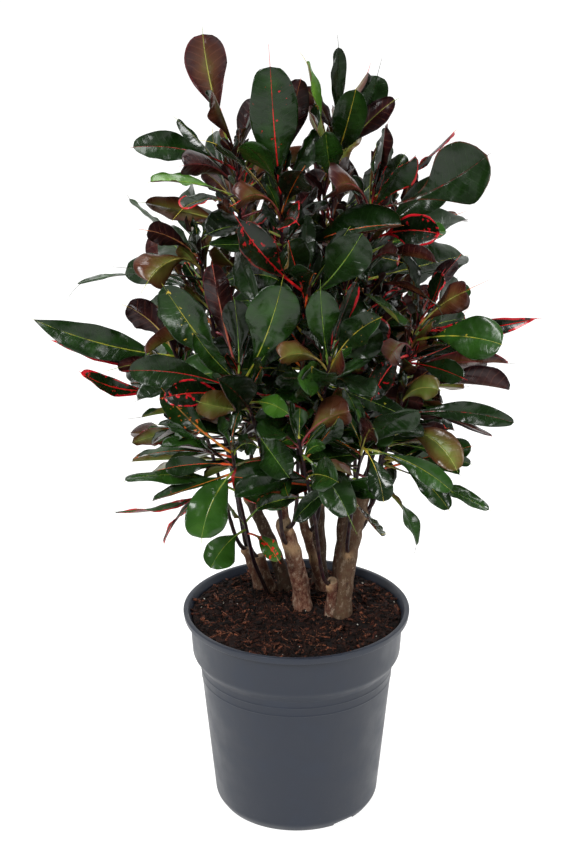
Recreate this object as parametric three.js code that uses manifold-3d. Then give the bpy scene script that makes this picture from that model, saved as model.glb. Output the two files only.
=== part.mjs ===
// A croton in a plain nursery pot: pot, soil, a clump of woody trunks and the leafy shoots that grow
// from them. Millimetres, +Z up. The origin is the middle of the pot's underside, and the front of the
// plant faces -Y. Each leafy shoot is one solid: its stem with every leaf fused to it.
import * as THREE from 'three';
import { mergeVertices } from 'three/addons/utils/BufferGeometryUtils.js';
import Module from 'manifold-3d';

const wasm = await Module();
wasm.setup();

// Driving dimensions of the pot, a standard 24 cm container
const POT_SIDES = 32;
const POT_HEIGHT = 226;
const POT_RIM_RADIUS = 120;
const POT_COLLAR_RADIUS = 113;
const POT_SHOULDER_RADIUS = 103;
const POT_SHOULDER_HEIGHT = 167;
const POT_BODY_FOOT_RADIUS = 88;
const POT_FOOT_RADIUS = 82;
const POT_HEEL_HEIGHT = 9;
const POT_WALL = 1.7;
const POT_FLOOR = 2;
const COLLAR_SLOPE_HEIGHT = 10;
const COLLAR_TAPER = 1.7;
const LIP_DEPTH = 7.5;
const LIP_WIDTH = 5;
const LIP_EASE = 1.5;
const RIDGE_HEIGHTS = [148, 158];
const RIDGE_DEPTH = 0.6;
const NOTCH_COUNT = 3;
const NOTCH_AZIMUTH = -52;
const NOTCH_WIDTH = 27;
const NOTCH_HEIGHT = 5;

// Driving dimensions of the soil
const SOIL_EDGE_HEIGHT = 218.5;
const SOIL_HEAP = 5;
const SOIL_BUMP = 1.5;
const SOIL_RINGS = [0.8, 0.45];

// Pieces that touch keep this gap
const GAP = 0.4;

// Trunks: each stands in the soil down to TRUNK_FOOT and is cut across at its top, at "cut" degrees.
// One that "joins" another is a fork or a stub of it, and is one body with it. A fork has a foot of
// its own, inside the trunk that it joins.
const TRUNK_FOOT = 165;
const TRUNK_SIDES = 6;
const TRUNK_STEPS = 4;
const TRUNKS = {
  trunk_left_back: {
    path: [[-11, 43, 222], [-20, 48, 255], [-37, 47, 300], [-57, 45, 351]],
    radii: [8, 6.5],
    cut: 15,
  },
  trunk_front_left: {
    path: [[7, 3, 222], [2, 0, 262], [-4, -2, 290], [-15, -5, 328]],
    radii: [9.5, 8.5],
    cut: 30,
  },
  fork_knobbed: {
    joins: 'trunk_front_left',
    foot: 278,
    path: [[-5, -1, 292], [-14, 8, 332], [-21, 16, 375]],
    radii: [6, 5.5],
    cut: 25,
  },
  trunk_slim: {
    path: [[28, 40, 222], [17, 33, 270], [3, 24, 330]],
    radii: [5.6, 5],
    cut: 10,
  },
  trunk_middle_back: {
    path: [[26, 60, 222], [23, 57, 280], [22, 54, 332]],
    radii: [8.6, 7.8],
    cut: 20,
  },
  trunk_right_back: {
    path: [[43, 46, 222], [47, 48, 270], [52, 50, 326]],
    radii: [6.2, 5.5],
    cut: 10,
  },
  trunk_right: {
    path: [[48, -12, 222], [55, -6, 290], [68, -10, 366]],
    radii: [9.5, 9.8],
    cut: 20,
  },
  stub_front: {
    joins: 'trunk_right',
    path: [[35, -13, 222], [37, -14, 242], [38, -14, 264]],
    radii: [6.8, 5.6],
    cut: 20,
  },
  trunk_left_low: {
    path: [[-40, 50, 222], [-48, 57, 246], [-54, 62, 266]],
    radii: [5.4, 4.8],
    cut: 10,
  },
  trunk_left_inner: {
    path: [[-27, 41, 222], [-34, 44, 244], [-40, 46, 264]],
    radii: [5.6, 4.8],
    cut: 10,
  },
};

// Stems: a stem starts inside its trunk, at STEM_ROOT of the trunk's radius from its middle, runs out
// of it sideways, turns up, and bows a little on its way to its heart.
const STEM_SIDES = 4;
const STEM_STEPS = 7;
const STEM_RADII = [2.6, 1.7];
const STEM_ROOT = 0.35;
const STEM_RUN = 5.5;
const STEM_LIFT = 11;
const STEM_TURN = 0.42;
const STEM_BOW = 0.05;
const ROUTE_FOOT = 185;

// Leafy shoots: where each grows from, its heart (the tip of its stem) and how many leaves it grows
// by rule. "side" is the compass angle, from +X towards +Y, at which it leaves its trunk, and "at" is
// how far up the trunk that is. A shoot with a "route" stands in the soil and follows it.
const SHOOTS = {
  shoot_crown_left: { trunk: 'trunk_left_back', at: 0.95, side: -60, heart: [-58, 5, 708], leaves: 14 },
  shoot_crown_front: { trunk: 'fork_knobbed', at: 0.93, side: -50, heart: [-15, -30, 690], leaves: 14 },
  shoot_crown_right: { trunk: 'trunk_right', at: 0.94, side: 110, heart: [72, -25, 676], leaves: 14 },
  shoot_crown_middle: { trunk: 'trunk_middle_back', at: 0.93, side: -60, heart: [38, 8, 716], leaves: 14 },
  shoot_left_high: { trunk: 'trunk_left_back', at: 0.84, side: -130, heart: [-98, -8, 622], leaves: 13 },
  shoot_front_high: { trunk: 'trunk_front_left', at: 0.9, side: -50, heart: [10, -72, 602], leaves: 13 },
  shoot_front_middle: { trunk: 'trunk_slim', at: 0.88, side: -50, heart: [32, -98, 536], leaves: 12 },
  shoot_right_mid: { trunk: 'trunk_right', at: 0.6, side: 30, heart: [122, -28, 558], leaves: 11 },
  shoot_front_left: { trunk: 'fork_knobbed', at: 0.78, side: -170, heart: [-56, -86, 514], leaves: 10 },
  shoot_left_mid: { trunk: 'trunk_left_low', at: 0.9, side: -160, heart: [-128, -14, 532], leaves: 9 },
  shoot_low_left: {
    route: [[-31, 30, 222], [-45, 24, 265], [-52, 4, 312], [-60, -34, 375]],
    heart: [-64, -72, 438],
    leaves: 4,
  },
  shoot_right_low: { trunk: 'trunk_right', at: 0.78, side: -10, heart: [104, -52, 474], leaves: 6 },
  shoot_front_right: { trunk: 'trunk_right', at: 0.48, side: -100, heart: [66, -92, 456], leaves: 8 },
  shoot_front_low: { trunk: 'stub_front', at: 0.8, side: -140, heart: [2, -112, 458], leaves: 5 },
  shoot_inner_left: { trunk: 'trunk_front_left', at: 0.72, side: -120, heart: [-32, -30, 580], leaves: 10 },
  shoot_inner_right: { trunk: 'trunk_slim', at: 0.7, side: -30, heart: [50, -38, 596], leaves: 10 },
  shoot_back_left: { trunk: 'trunk_left_inner', at: 0.85, side: 170, heart: [-112, 72, 540], leaves: 14 },
  shoot_back_left_low: { trunk: 'trunk_left_low', at: 0.55, side: 120, heart: [-96, 104, 462], leaves: 10 },
  shoot_back_middle: { trunk: 'trunk_middle_back', at: 0.7, side: 130, heart: [-28, 122, 520], leaves: 13 },
  shoot_back_right: { trunk: 'trunk_right_back', at: 0.82, side: 80, heart: [80, 128, 520], leaves: 16 },
  shoot_right_back: { trunk: 'trunk_right_back', at: 0.93, side: 0, heart: [138, 52, 500], leaves: 14 },
  shoot_right_high: { trunk: 'trunk_right', at: 0.82, side: 60, heart: [100, 56, 622], leaves: 16 },
  shoot_back_left_high: { trunk: 'fork_knobbed', at: 0.75, side: 100, heart: [-58, 92, 640], leaves: 16 },
  shoot_back_high: { trunk: 'trunk_middle_back', at: 0.86, side: 50, heart: [28, 78, 668], leaves: 13 },
  shoot_back_low: { trunk: 'trunk_right_back', at: 0.6, side: 80, heart: [24, 138, 430], leaves: 10 },
};

// Ways that a leaf's upper side can face
const FRONT = [0.1, -1, 0.35];
const BACK = [0, 1, -0.3];
const UP = [0, -0.25, 1];
const LEFT = [-1, -0.3, 0.2];
const RIGHT = [1, -0.3, 0.2];

// Leaves with a place of their own, by shoot: the height on the stem that each grows from, its tip, its
// width, and the way its upper side faces. bend is the turn of its line from root to tip, downwards
// where negative, twist the turn of the blade about that line, fold the rise of each half at the
// midrib, cup the further roll of each half towards its edge, and wave the height of its ripples.
const SET_LEAF = { bend: 0, turn: 0, twist: 0, fold: 18, cup: 0, wave: 2, waves: 2.2, kind: 'spoon' };
const SET_LEAVES = {
  shoot_crown_left: [
    { z: 700, tip: [-88, -10, 826], width: 43, face: BACK, bend: 20, twist: 180, cup: -20, kind: 'spatula' },
    { z: 692, tip: [-154, -40, 725], width: 30, face: FRONT, bend: -35, twist: 30 },
    { z: 672, tip: [-105, -60, 712], width: 34, face: BACK, bend: -50, twist: 20, cup: 50 },
    { z: 664, tip: [-140, -22, 688], width: 26, face: UP, bend: -30 },
    { z: 650, tip: [-108, -50, 668], width: 30, face: UP, bend: -60, twist: 30 },
  ],
  shoot_crown_front: [
    { z: 676, tip: [-24, -62, 804], width: 46, face: FRONT, bend: 12, fold: 8, cup: -15, kind: 'oblong' },
    { z: 652, tip: [-52, -92, 686], width: 38, face: BACK, bend: -70, cup: 60, kind: 'spatula' },
    { z: 684, tip: [4, -22, 786], width: 30, face: BACK, bend: -10, twist: 20 },
    { z: 640, tip: [0, -100, 668], width: 36, face: FRONT, bend: -40, twist: -20 },
  ],
  shoot_crown_right: [
    { z: 660, tip: [178, -62, 722], width: 68, face: FRONT, bend: 28, twist: -30, cup: 25, kind: 'spatula' },
    { z: 670, tip: [150, -22, 736], width: 14, face: RIGHT, bend: 15, twist: 40 },
    { z: 655, tip: [36, -84, 696], width: 48, face: BACK, bend: -80, cup: 60, kind: 'spatula' },
    { z: 668, tip: [104, -12, 712], width: 20, face: FRONT, bend: 10 },
    { z: 628, tip: [136, -60, 646], width: 38, face: FRONT, bend: -40, fold: 30 },
    { z: 615, tip: [146, -12, 636], width: 26, face: LEFT, bend: -30 },
  ],
  shoot_crown_middle: [
    { z: 712, tip: [40, 0, 812], width: 16, face: FRONT, bend: 10, twist: 60 },
    { z: 700, tip: [56, -20, 776], width: 38, face: FRONT, bend: 10, cup: 30, kind: 'oblong' },
    { z: 706, tip: [78, 20, 782], width: 36, face: FRONT, bend: 30, kind: 'oblong' },
    { z: 684, tip: [10, -42, 806], width: 20, face: RIGHT, bend: 10 },
    { z: 690, tip: [20, -52, 760], width: 36, face: LEFT, bend: 15, twist: 30 },
    { z: 672, tip: [27, -62, 744], width: 30, face: FRONT, bend: 20 },
  ],
  shoot_left_high: [
    { z: 608, tip: [-142, -46, 646], width: 24, face: BACK, bend: -30, twist: 20 },
    { z: 612, tip: [-102, -80, 642], width: 26, face: FRONT, bend: -40 },
    { z: 596, tip: [-142, -62, 600], width: 50, face: BACK, bend: -90, cup: 40, kind: 'spatula' },
    { z: 584, tip: [-212, -42, 592], width: 12, face: UP, bend: -30, kind: 'broken' },
  ],
  shoot_front_high: [
    { z: 590, tip: [-52, -112, 670], width: 36, face: FRONT, bend: 20, fold: 25 },
    { z: 582, tip: [60, -112, 660], width: 44, face: FRONT, bend: 20, twist: 20 },
  ],
  shoot_front_middle: [
    { z: 524, tip: [22, -126, 610], width: 34, face: FRONT, bend: 20 },
    { z: 506, tip: [72, -132, 508], width: 30, face: UP, bend: -50 },
    { z: 515, tip: [80, -112, 566], width: 34, face: FRONT, bend: -20, twist: 20 },
    { z: 518, tip: [-14, -138, 548], width: 32, face: BACK, bend: -60, cup: 40 },
  ],
  shoot_right_mid: [
    { z: 528, tip: [196, -84, 544], width: 46, face: FRONT, bend: -30, fold: 12, cup: -20 },
    { z: 540, tip: [232, -58, 562], width: 22, face: FRONT, bend: 18, twist: 50, kind: 'lance' },
    { z: 534, tip: [170, 10, 540], width: 24, face: FRONT, bend: -30 },
    { z: 504, tip: [162, -74, 506], width: 26, face: FRONT, bend: -20 },
    { z: 512, tip: [72, -104, 496], width: 26, face: FRONT, bend: -50 },
    { z: 520, tip: [88, -92, 530], width: 26, face: BACK, bend: -60 },
    { z: 548, tip: [140, -52, 606], width: 26, face: LEFT, bend: 30, twist: 40 },
    { z: 545, tip: [172, -4, 576], width: 20, face: FRONT, bend: -20 },
    { z: 552, tip: [155, -30, 612], width: 20, face: BACK, bend: -20, twist: 30 },
  ],
  shoot_front_left: [
    { z: 496, tip: [-125, -92, 604], width: 44, face: FRONT, bend: 10, twist: -30 },
    { z: 500, tip: [-14, -118, 612], width: 50, face: FRONT, bend: 20, cup: -20 },
    { z: 488, tip: [-160, -92, 520], width: 34, face: FRONT, bend: -30, twist: -20 },
    { z: 478, tip: [-126, -112, 500], width: 28, face: FRONT, bend: -30 },
    { z: 504, tip: [-80, -66, 618], width: 30, face: BACK, bend: 10, fold: 30 },
    { z: 474, tip: [-8, -122, 488], width: 24, face: FRONT, bend: -30 },
  ],
  shoot_left_mid: [
    { z: 506, tip: [-258, -30, 552], width: 36, face: FRONT, bend: 20, twist: -20, wave: 4, kind: 'lance' },
    { z: 498, tip: [-244, -10, 524], width: 22, face: FRONT, bend: 10, twist: 40, kind: 'lance' },
    { z: 486, tip: [-176, -42, 506], width: 18, face: BACK, bend: -40 },
    { z: 476, tip: [-210, -62, 508], width: 20, face: FRONT, bend: 50, twist: 80 },
  ],
  shoot_low_left: [
    { z: 424, tip: [-130, -72, 494], width: 28, face: FRONT, bend: 20 },
    { z: 418, tip: [-160, -22, 404], width: 22, face: UP, bend: -30 },
    { z: 420, tip: [-38, -100, 446], width: 24, face: FRONT, bend: -60 },
    { z: 408, tip: [-130, -64, 408], width: 22, face: FRONT, bend: -20 },
    { z: 400, tip: [-94, -90, 344], width: 44, face: FRONT, bend: -60, fold: 8, cup: -20, kind: 'oblong' },
    { z: 392, tip: [-184, -40, 350], width: 14, face: UP, bend: 40, twist: 90 },
    { z: 386, tip: [-134, -62, 326], width: 14, face: LEFT, bend: -60, twist: 60 },
    { z: 322, tip: [-6, -46, 380], width: 32, face: FRONT, bend: -20 },
    { z: 312, tip: [-88, -44, 290], width: 36, face: FRONT, bend: -50 },
    { z: 318, tip: [-72, -14, 352], width: 18, face: LEFT, bend: 10 },
    { z: 306, tip: [-18, -36, 294], width: 20, face: FRONT, bend: -60, twist: 30 },
  ],
  shoot_right_low: [
    { z: 408, tip: [150, -92, 376], width: 24, face: FRONT, bend: -40 },
    { z: 398, tip: [190, -88, 374], width: 16, face: UP, bend: -10, twist: 100 },
    { z: 458, tip: [214, -62, 456], width: 23, face: FRONT, bend: -30, twist: 20, wave: 5, kind: 'strap' },
    { z: 430, tip: [156, -98, 420], width: 34, face: BACK, bend: -100 },
    { z: 424, tip: [175, -42, 404], width: 16, face: FRONT, bend: -20, twist: 40 },
    { z: 462, tip: [138, -62, 486], width: 28, face: BACK, bend: -90 },
  ],
  shoot_front_right: [
    { z: 440, tip: [84, -124, 398], width: 26, face: FRONT, bend: -60 },
    { z: 436, tip: [150, -112, 404], width: 24, face: FRONT, bend: -40, twist: 20 },
    { z: 402, tip: [120, -88, 336], width: 18, face: RIGHT, bend: -70, twist: 90, wave: 4, kind: 'strap' },
  ],
  shoot_front_low: [
    { z: 438, tip: [50, -136, 388], width: 34, face: FRONT, bend: -40, fold: 12, kind: 'oblong' },
    { z: 448, tip: [50, -128, 492], width: 40, face: BACK, bend: -50, cup: 30 },
    { z: 444, tip: [-34, -140, 470], width: 36, face: UP, bend: -60 },
  ],
};

// How leaves grow by rule. Down the stem from the heart they are longer, flatter and set wider. Each
// strays from the rule by up to LEAF_STRAY either way, or takes a value in a range of LEAF_RANGES.
const SEED = 4;
const GOLDEN_ANGLE = 137.5;
const LEAF_BAND = 100;
const HEART_DEPTH = 3;
const LEAF_LENGTHS = [118, 78];
const LEAF_RISES = [-8, 72];
const RISE_CURVE = 1.2;
const LEAF_SLIMNESS = [0.3, 0.46];
const STRAP_SHARE = 0.25;
const STRAP_SLIMNESS = 0.6;
const LEAF_STRAY = { rise: 16, heading: 14, turn: 30, twist: 70, cup: 50, face: 0.6 };
const LEAF_RANGES = { span: [0.85, 1.2], bend: [10, -50], fold: [12, 32], wave: [0, 3], waves: [1.5, 3] };
const FACE_UP = 0.6;
const TRIES = 14;

// The crown's outline, as height and radius about its axis, and its lowest height in and out
const CROWN_AXIS = [-8, -2];
const CROWN_OUTLINE = [
  [280, 120], [330, 170], [400, 205], [520, 236], [580, 215], [640, 185], [720, 165], [815, 85],
];
const CROWN_BOTTOM = [405, 305];
const CROWN_REACH = 236;

// Room that leaves keep to each other, to leaves of their own shoot past OWN_ROOT, and to wood
const SHOOT_TURN = 50;
const TRY_TURN = 34;
const LEAF_CLEARANCE = 7.5;
const OWN_CLEARANCE = 4.5;
const WOOD_CLEARANCE = 4;
const OWN_ROOT = 0.42;
const SET_TRIM = 0.85;
const COARSE_STATIONS = [0.12, 0.22, 0.33, 0.44, 0.55, 0.67, 0.79, 0.9, 1];
const COARSE_PLACES = [-1, -0.5, 0, 0.5, 1];
const FINE_STATIONS = Array.from({ length: 16 }, (_, i) => 0.1 + 0.06 * i);
const FINE_PLACES = [-1, -0.6, -0.2, 0.2, 0.6, 1];
const LOWEST_LEAF = 240;

// Leaf form: a narrow stalk, then a blade that is widest two thirds of the way out
const STALK_END = 0.16;
const STALK_HALF_WIDTH = 1.3;
const MIDRIB_THICKNESS = 1.4;
const STALK_THICKNESS = 2.4;
const BLADE_KINDS = {
  spoon: { peak: 1.75, fullness: 0.72 },
  spatula: { peak: 2.5, fullness: 0.6 },
  oblong: { peak: 1.35, fullness: 0.45 },
  lance: { peak: 0.9, fullness: 0.85 },
  strap: { peak: 1.2, fullness: 0.6 },
  broken: { peak: 1, fullness: 0.7 },
};
const BROAD_WIDTH = 34;
const SET_ROWS = [0.1, 0.4, 0.68, 0.88];
const RULE_ROWS = [0.1, 0.48, 0.8];
const BROKEN_ROWS = [0.1, 0.3, 0.44, 0.6, 0.7, 0.86];
const TWISTED_ROWS = [0.1, 0.26, 0.34, 0.41, 0.48, 0.57, 0.7, 0.84, 0.94];
const SHARP_TWIST = 120;
const TWIST_SPAN = [0.22, 0.58];
const BREAK_SPAN = [0.42, 0.62];
const FACE_STATION = 0.6;
const SPINE_STEPS = 12;
const WAVE_OFFSET = 0.35;

// Colours and finishes
const POT_PLASTIC = new THREE.MeshStandardMaterial({ color: '#4b5059', roughness: 0.5, metalness: 0 });
const SOIL_PEAT = new THREE.MeshStandardMaterial({ color: '#33211a', roughness: 0.95, metalness: 0 });
const BARK = new THREE.MeshStandardMaterial({ color: '#7b6656', roughness: 0.85, metalness: 0 });
const LEAF_GREEN = new THREE.MeshStandardMaterial({ color: '#1d3a22', roughness: 0.3, metalness: 0 });

const vec = (point) => new THREE.Vector3(...point);
const mix = THREE.MathUtils.lerp;
const rad = THREE.MathUtils.degToRad;
const clamp = THREE.MathUtils.clamp;

function seededRandom(seed) {
  let state = seed >>> 0;
  return () => {
    state = (state + 0x6d2b79f5) >>> 0;
    let mixed = state;
    mixed = Math.imul(mixed ^ (mixed >>> 15), mixed | 1);
    mixed ^= mixed + Math.imul(mixed ^ (mixed >>> 7), mixed | 61);
    return ((mixed ^ (mixed >>> 14)) >>> 0) / 4294967296;
  };
}

// Closed geometry to a solid that can be joined and cut, and back
function toSolid(geometry) {
  const bare = geometry.clone();
  bare.deleteAttribute('normal');
  bare.deleteAttribute('uv');
  const merged = mergeVertices(bare, 1e-3);
  const vertProperties = new Float32Array(merged.attributes.position.array);
  const triVerts = new Uint32Array(merged.index.array);
  return new wasm.Manifold(new wasm.Mesh({ numProp: 3, vertProperties, triVerts }));
}

function toGeometry(solid) {
  const mesh = solid.getMesh();
  const geometry = new THREE.BufferGeometry();
  geometry.setAttribute('position', new THREE.BufferAttribute(mesh.vertProperties, 3));
  geometry.setIndex(new THREE.BufferAttribute(mesh.triVerts, 1));
  geometry.computeVertexNormals();
  return geometry;
}

function largestBody(solid) {
  const bodies = solid.decompose();
  return bodies.reduce((best, body) => (body.volume() > best.volume() ? body : best));
}

function namedMesh(name, solid, material) {
  const mesh = new THREE.Mesh(toGeometry(solid), material);
  mesh.name = name;
  return mesh;
}

function turned(profile, sides) {
  const points = profile.map(([radius, height]) => new THREE.Vector2(radius, height));
  const geometry = new THREE.LatheGeometry(points, sides);
  geometry.rotateX(Math.PI / 2);
  return geometry;
}

// A tapered cylinder bent along a curve. "grow" makes it larger all round, for the hole it stands in.
function bentTube(curve, radii, sides, steps, grow = 0) {
  const tube = new THREE.CylinderGeometry(radii[1] + grow, radii[0] + grow, 1, sides, steps);
  const chord = curve.getPoint(1).sub(curve.getPoint(0));
  const level = chord.cross(new THREE.Vector3(0, 1, 0)).normalize();
  const position = tube.attributes.position;
  for (let i = 0; i < position.count; i += 1) {
    const t = clamp(position.getY(i) + 0.5, 0, 1);
    const along = curve.getTangent(t);
    const across = level.clone().addScaledVector(along, -level.dot(along)).normalize();
    const outward = across.clone().cross(along);
    const point = curve.getPoint(t);
    if (t < 1e-6) point.addScaledVector(along, -grow);
    if (t > 1 - 1e-6) point.addScaledVector(along, grow);
    point.addScaledVector(across, position.getX(i)).addScaledVector(outward, position.getZ(i));
    position.setXYZ(i, point.x, point.y, point.z);
  }
  return toSolid(tube);
}

// Pot

const COLLAR_FOOT_RADIUS = POT_COLLAR_RADIUS - COLLAR_TAPER;
const COLLAR_FOOT_HEIGHT = POT_SHOULDER_HEIGHT + COLLAR_SLOPE_HEIGHT;

function potOutside() {
  const bodyRadius = (height) => {
    const share = (height - POT_HEEL_HEIGHT) / (POT_SHOULDER_HEIGHT - POT_HEEL_HEIGHT);
    return mix(POT_BODY_FOOT_RADIUS, POT_SHOULDER_RADIUS, share);
  };
  const ridges = RIDGE_HEIGHTS.flatMap((height) => [
    [bodyRadius(height), height],
    [bodyRadius(height) + RIDGE_DEPTH, height + 1],
  ]);
  return [
    [POT_FOOT_RADIUS, 0],
    [mix(POT_FOOT_RADIUS, POT_BODY_FOOT_RADIUS, 0.75), POT_HEEL_HEIGHT / 3],
    [POT_BODY_FOOT_RADIUS, POT_HEEL_HEIGHT],
    ...ridges,
    [POT_SHOULDER_RADIUS, POT_SHOULDER_HEIGHT],
    [COLLAR_FOOT_RADIUS - COLLAR_TAPER / 2, COLLAR_FOOT_HEIGHT],
    [COLLAR_FOOT_RADIUS, COLLAR_FOOT_HEIGHT + COLLAR_SLOPE_HEIGHT / 2],
    [POT_COLLAR_RADIUS, POT_HEIGHT - LIP_DEPTH - LIP_EASE],
    [POT_RIM_RADIUS - LIP_EASE, POT_HEIGHT - LIP_DEPTH],
    [POT_RIM_RADIUS, POT_HEIGHT - LIP_DEPTH + LIP_EASE],
    [POT_RIM_RADIUS, POT_HEIGHT - LIP_EASE],
    [POT_RIM_RADIUS - LIP_EASE, POT_HEIGHT],
  ];
}

function potInside() {
  return [
    [POT_FOOT_RADIUS, POT_FLOOR],
    [POT_BODY_FOOT_RADIUS - POT_WALL, POT_HEEL_HEIGHT],
    [POT_SHOULDER_RADIUS - POT_WALL, POT_SHOULDER_HEIGHT + POT_WALL],
    [COLLAR_FOOT_RADIUS - POT_WALL, COLLAR_FOOT_HEIGHT + POT_WALL],
    [POT_COLLAR_RADIUS - POT_WALL, POT_HEIGHT - LIP_DEPTH],
    [POT_RIM_RADIUS - LIP_WIDTH, POT_HEIGHT - LIP_EASE],
  ];
}

function makePot() {
  const profile = [[0, 0], ...potOutside(), ...potInside().reverse(), [0, POT_FLOOR]];
  let pot = toSolid(turned(profile, POT_SIDES));
  for (let i = 0; i < NOTCH_COUNT; i += 1) {
    const notch = new THREE.BoxGeometry(POT_BODY_FOOT_RADIUS / 5, NOTCH_WIDTH, NOTCH_HEIGHT * 2);
    notch.translate(POT_BODY_FOOT_RADIUS, 0, 0);
    notch.rotateZ(rad(NOTCH_AZIMUTH + (i * 360) / NOTCH_COUNT));
    pot = pot.subtract(toSolid(notch));
  }
  return pot;
}

// Soil: it fills the pot, is heaped a little and rough on top, and has a plain hole for each stem

function makeSoil(holes) {
  const bowl = potInside().slice(0, 4).map(([radius, height]) => [radius - GAP, height + GAP]);
  const topRadius = POT_COLLAR_RADIUS - POT_WALL - 2 * GAP;
  const heap = (ring) => SOIL_EDGE_HEIGHT + SOIL_HEAP * (1 - ring ** 2);
  const rings = SOIL_RINGS.map((ring) => [topRadius * ring, heap(ring)]);
  const profile = [
    [0, POT_FLOOR + GAP],
    ...bowl,
    [topRadius, heap(1)],
    ...rings,
    [0, heap(0)],
  ];
  const geometry = turned(profile, POT_SIDES);
  const position = geometry.attributes.position;
  const rows = profile.length;
  for (let side = 0; side < POT_SIDES; side += 1) {
    for (let ring = 0; ring < SOIL_RINGS.length; ring += 1) {
      const bump = SOIL_BUMP * (2 * seededRandom(SEED + side * 10 + ring)() - 1);
      const row = bowl.length + 2 + ring;
      const copies = side === 0 ? [0, POT_SIDES] : [side];
      for (const column of copies) {
        const index = column * rows + row;
        position.setZ(index, position.getZ(index) + bump);
      }
    }
  }
  return holes.reduce((soil, hole) => soil.subtract(hole), toSolid(geometry));
}

// Trunks and stems

function trunkCurve({ path, foot = TRUNK_FOOT }) {
  const [x, y] = path[0];
  return new THREE.CatmullRomCurve3([[x, y, foot], ...path].map(vec));
}

function curveAtHeight(curve, height) {
  let low = 0;
  let high = 1;
  for (let i = 0; i < 24; i += 1) {
    const middle = (low + high) / 2;
    if (curve.getPoint(middle).z < height) low = middle;
    else high = middle;
  }
  return { t: low, point: curve.getPoint(low) };
}

function socket(shoot) {
  const trunk = TRUNKS[shoot.trunk];
  const height = mix(trunk.path[0][2], trunk.path.at(-1)[2], shoot.at);
  const { t, point } = curveAtHeight(trunkCurve(trunk), height);
  const radius = mix(trunk.radii[0], trunk.radii[1], t);
  const outward = new THREE.Vector3(Math.cos(rad(shoot.side)), Math.sin(rad(shoot.side)), 0);
  return { point, radius, outward };
}

// A stem leaves its trunk sideways, turns up within a few centimetres and rises to its heart
function stemCurve(shoot) {
  const heart = vec(shoot.heart);
  if (shoot.route) {
    const [x, y] = shoot.route[0];
    return new THREE.CatmullRomCurve3([vec([x, y, ROUTE_FOOT]), ...shoot.route.map(vec), heart]);
  }
  const { point, radius, outward } = socket(shoot);
  const start = point.clone().addScaledVector(outward, radius * STEM_ROOT);
  const out = point.clone().addScaledVector(outward, radius + STEM_RUN);
  out.z += STEM_LIFT;
  const rise = out.clone().lerp(heart, STEM_TURN);
  rise.z += STEM_BOW * (heart.z - out.z);
  return new THREE.CatmullRomCurve3([start, out, rise, heart]);
}

// A trunk's length, cut across at its top
function makeLog(trunk) {
  const curve = trunkCurve(trunk);
  const top = curve.getPoint(1);
  const below = curve.getTangent(1).applyAxisAngle(new THREE.Vector3(1, 0, 0), rad(trunk.cut)).negate();
  const reach = trunk.radii[1] * Math.tan(rad(trunk.cut));
  const log = bentTube(curve, trunk.radii, TRUNK_SIDES, TRUNK_STEPS);
  return log.trimByPlane(below.toArray(), below.dot(top) + reach);
}

// The wood, forks and stubs included, with a socket for each shoot that grows from it
function makeTrunk(name, curves) {
  const parts = Object.keys(TRUNKS).filter((part) => part === name || TRUNKS[part].joins === name);
  const grown = Object.keys(SHOOTS).filter((shoot) => parts.includes(SHOOTS[shoot].trunk));
  const whole = parts.map((part) => makeLog(TRUNKS[part])).reduce((trunk, fork) => trunk.add(fork));
  const sockets = grown.map((shoot) => bentTube(curves[shoot], STEM_RADII, STEM_SIDES, STEM_STEPS, GAP));
  return largestBody(sockets.reduce((trunk, hole) => trunk.subtract(hole), whole));
}

// Leaves

// Gives the share of its twist that a blade has made at s. A sharp twist is made in one short span.
function twistShare(leaf, s) {
  if (Math.abs(leaf.twist) <= SHARP_TWIST) return s;
  const share = Math.min(1, Math.max(0, (s - TWIST_SPAN[0]) / (TWIST_SPAN[1] - TWIST_SPAN[0])));
  return share * share * (3 - 2 * share);
}

// The line of a leaf: its compass angle and its rise change evenly from root to tip
function leafFrame(leaf, s) {
  const point = vec(leaf.root);
  for (let i = 0; i < SPINE_STEPS; i += 1) {
    const middle = (s * (i + 0.5)) / SPINE_STEPS;
    point.addScaledVector(leafHeading(leaf, middle), (leaf.length * s) / SPINE_STEPS);
  }
  const along = leafHeading(leaf, s);
  const azimuth = rad(leaf.azimuth + leaf.turn * s);
  const side = new THREE.Vector3(-Math.sin(azimuth), Math.cos(azimuth), 0);
  const normal = along.clone().cross(side);
  const roll = rad(leaf.roll + leaf.twist * (twistShare(leaf, s) - twistShare(leaf, FACE_STATION)));
  const across = side.clone().multiplyScalar(Math.cos(roll)).addScaledVector(normal, Math.sin(roll));
  return { point, across, normal: along.clone().cross(across) };
}

function leafHeading(leaf, s) {
  const azimuth = rad(leaf.azimuth + leaf.turn * s);
  const rise = rad(leaf.rise + leaf.bend * s);
  const level = Math.cos(rise);
  return new THREE.Vector3(level * Math.cos(azimuth), level * Math.sin(azimuth), Math.sin(rise));
}

function bladeShare(s) {
  return clamp((s - STALK_END) / (1 - STALK_END), 0, 1);
}

function halfWidth(leaf, s) {
  const kind = BLADE_KINDS[leaf.kind];
  const share = bladeShare(s);
  const outline = Math.sin(Math.PI * share ** kind.peak) ** kind.fullness;
  const stalk = STALK_HALF_WIDTH * (1 - share);
  const bare = leaf.kind === 'broken' && s > BREAK_SPAN[0] && s < BREAK_SPAN[1];
  return bare ? STALK_HALF_WIDTH : Math.max(stalk, (leaf.width / 2) * outline);
}

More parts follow.
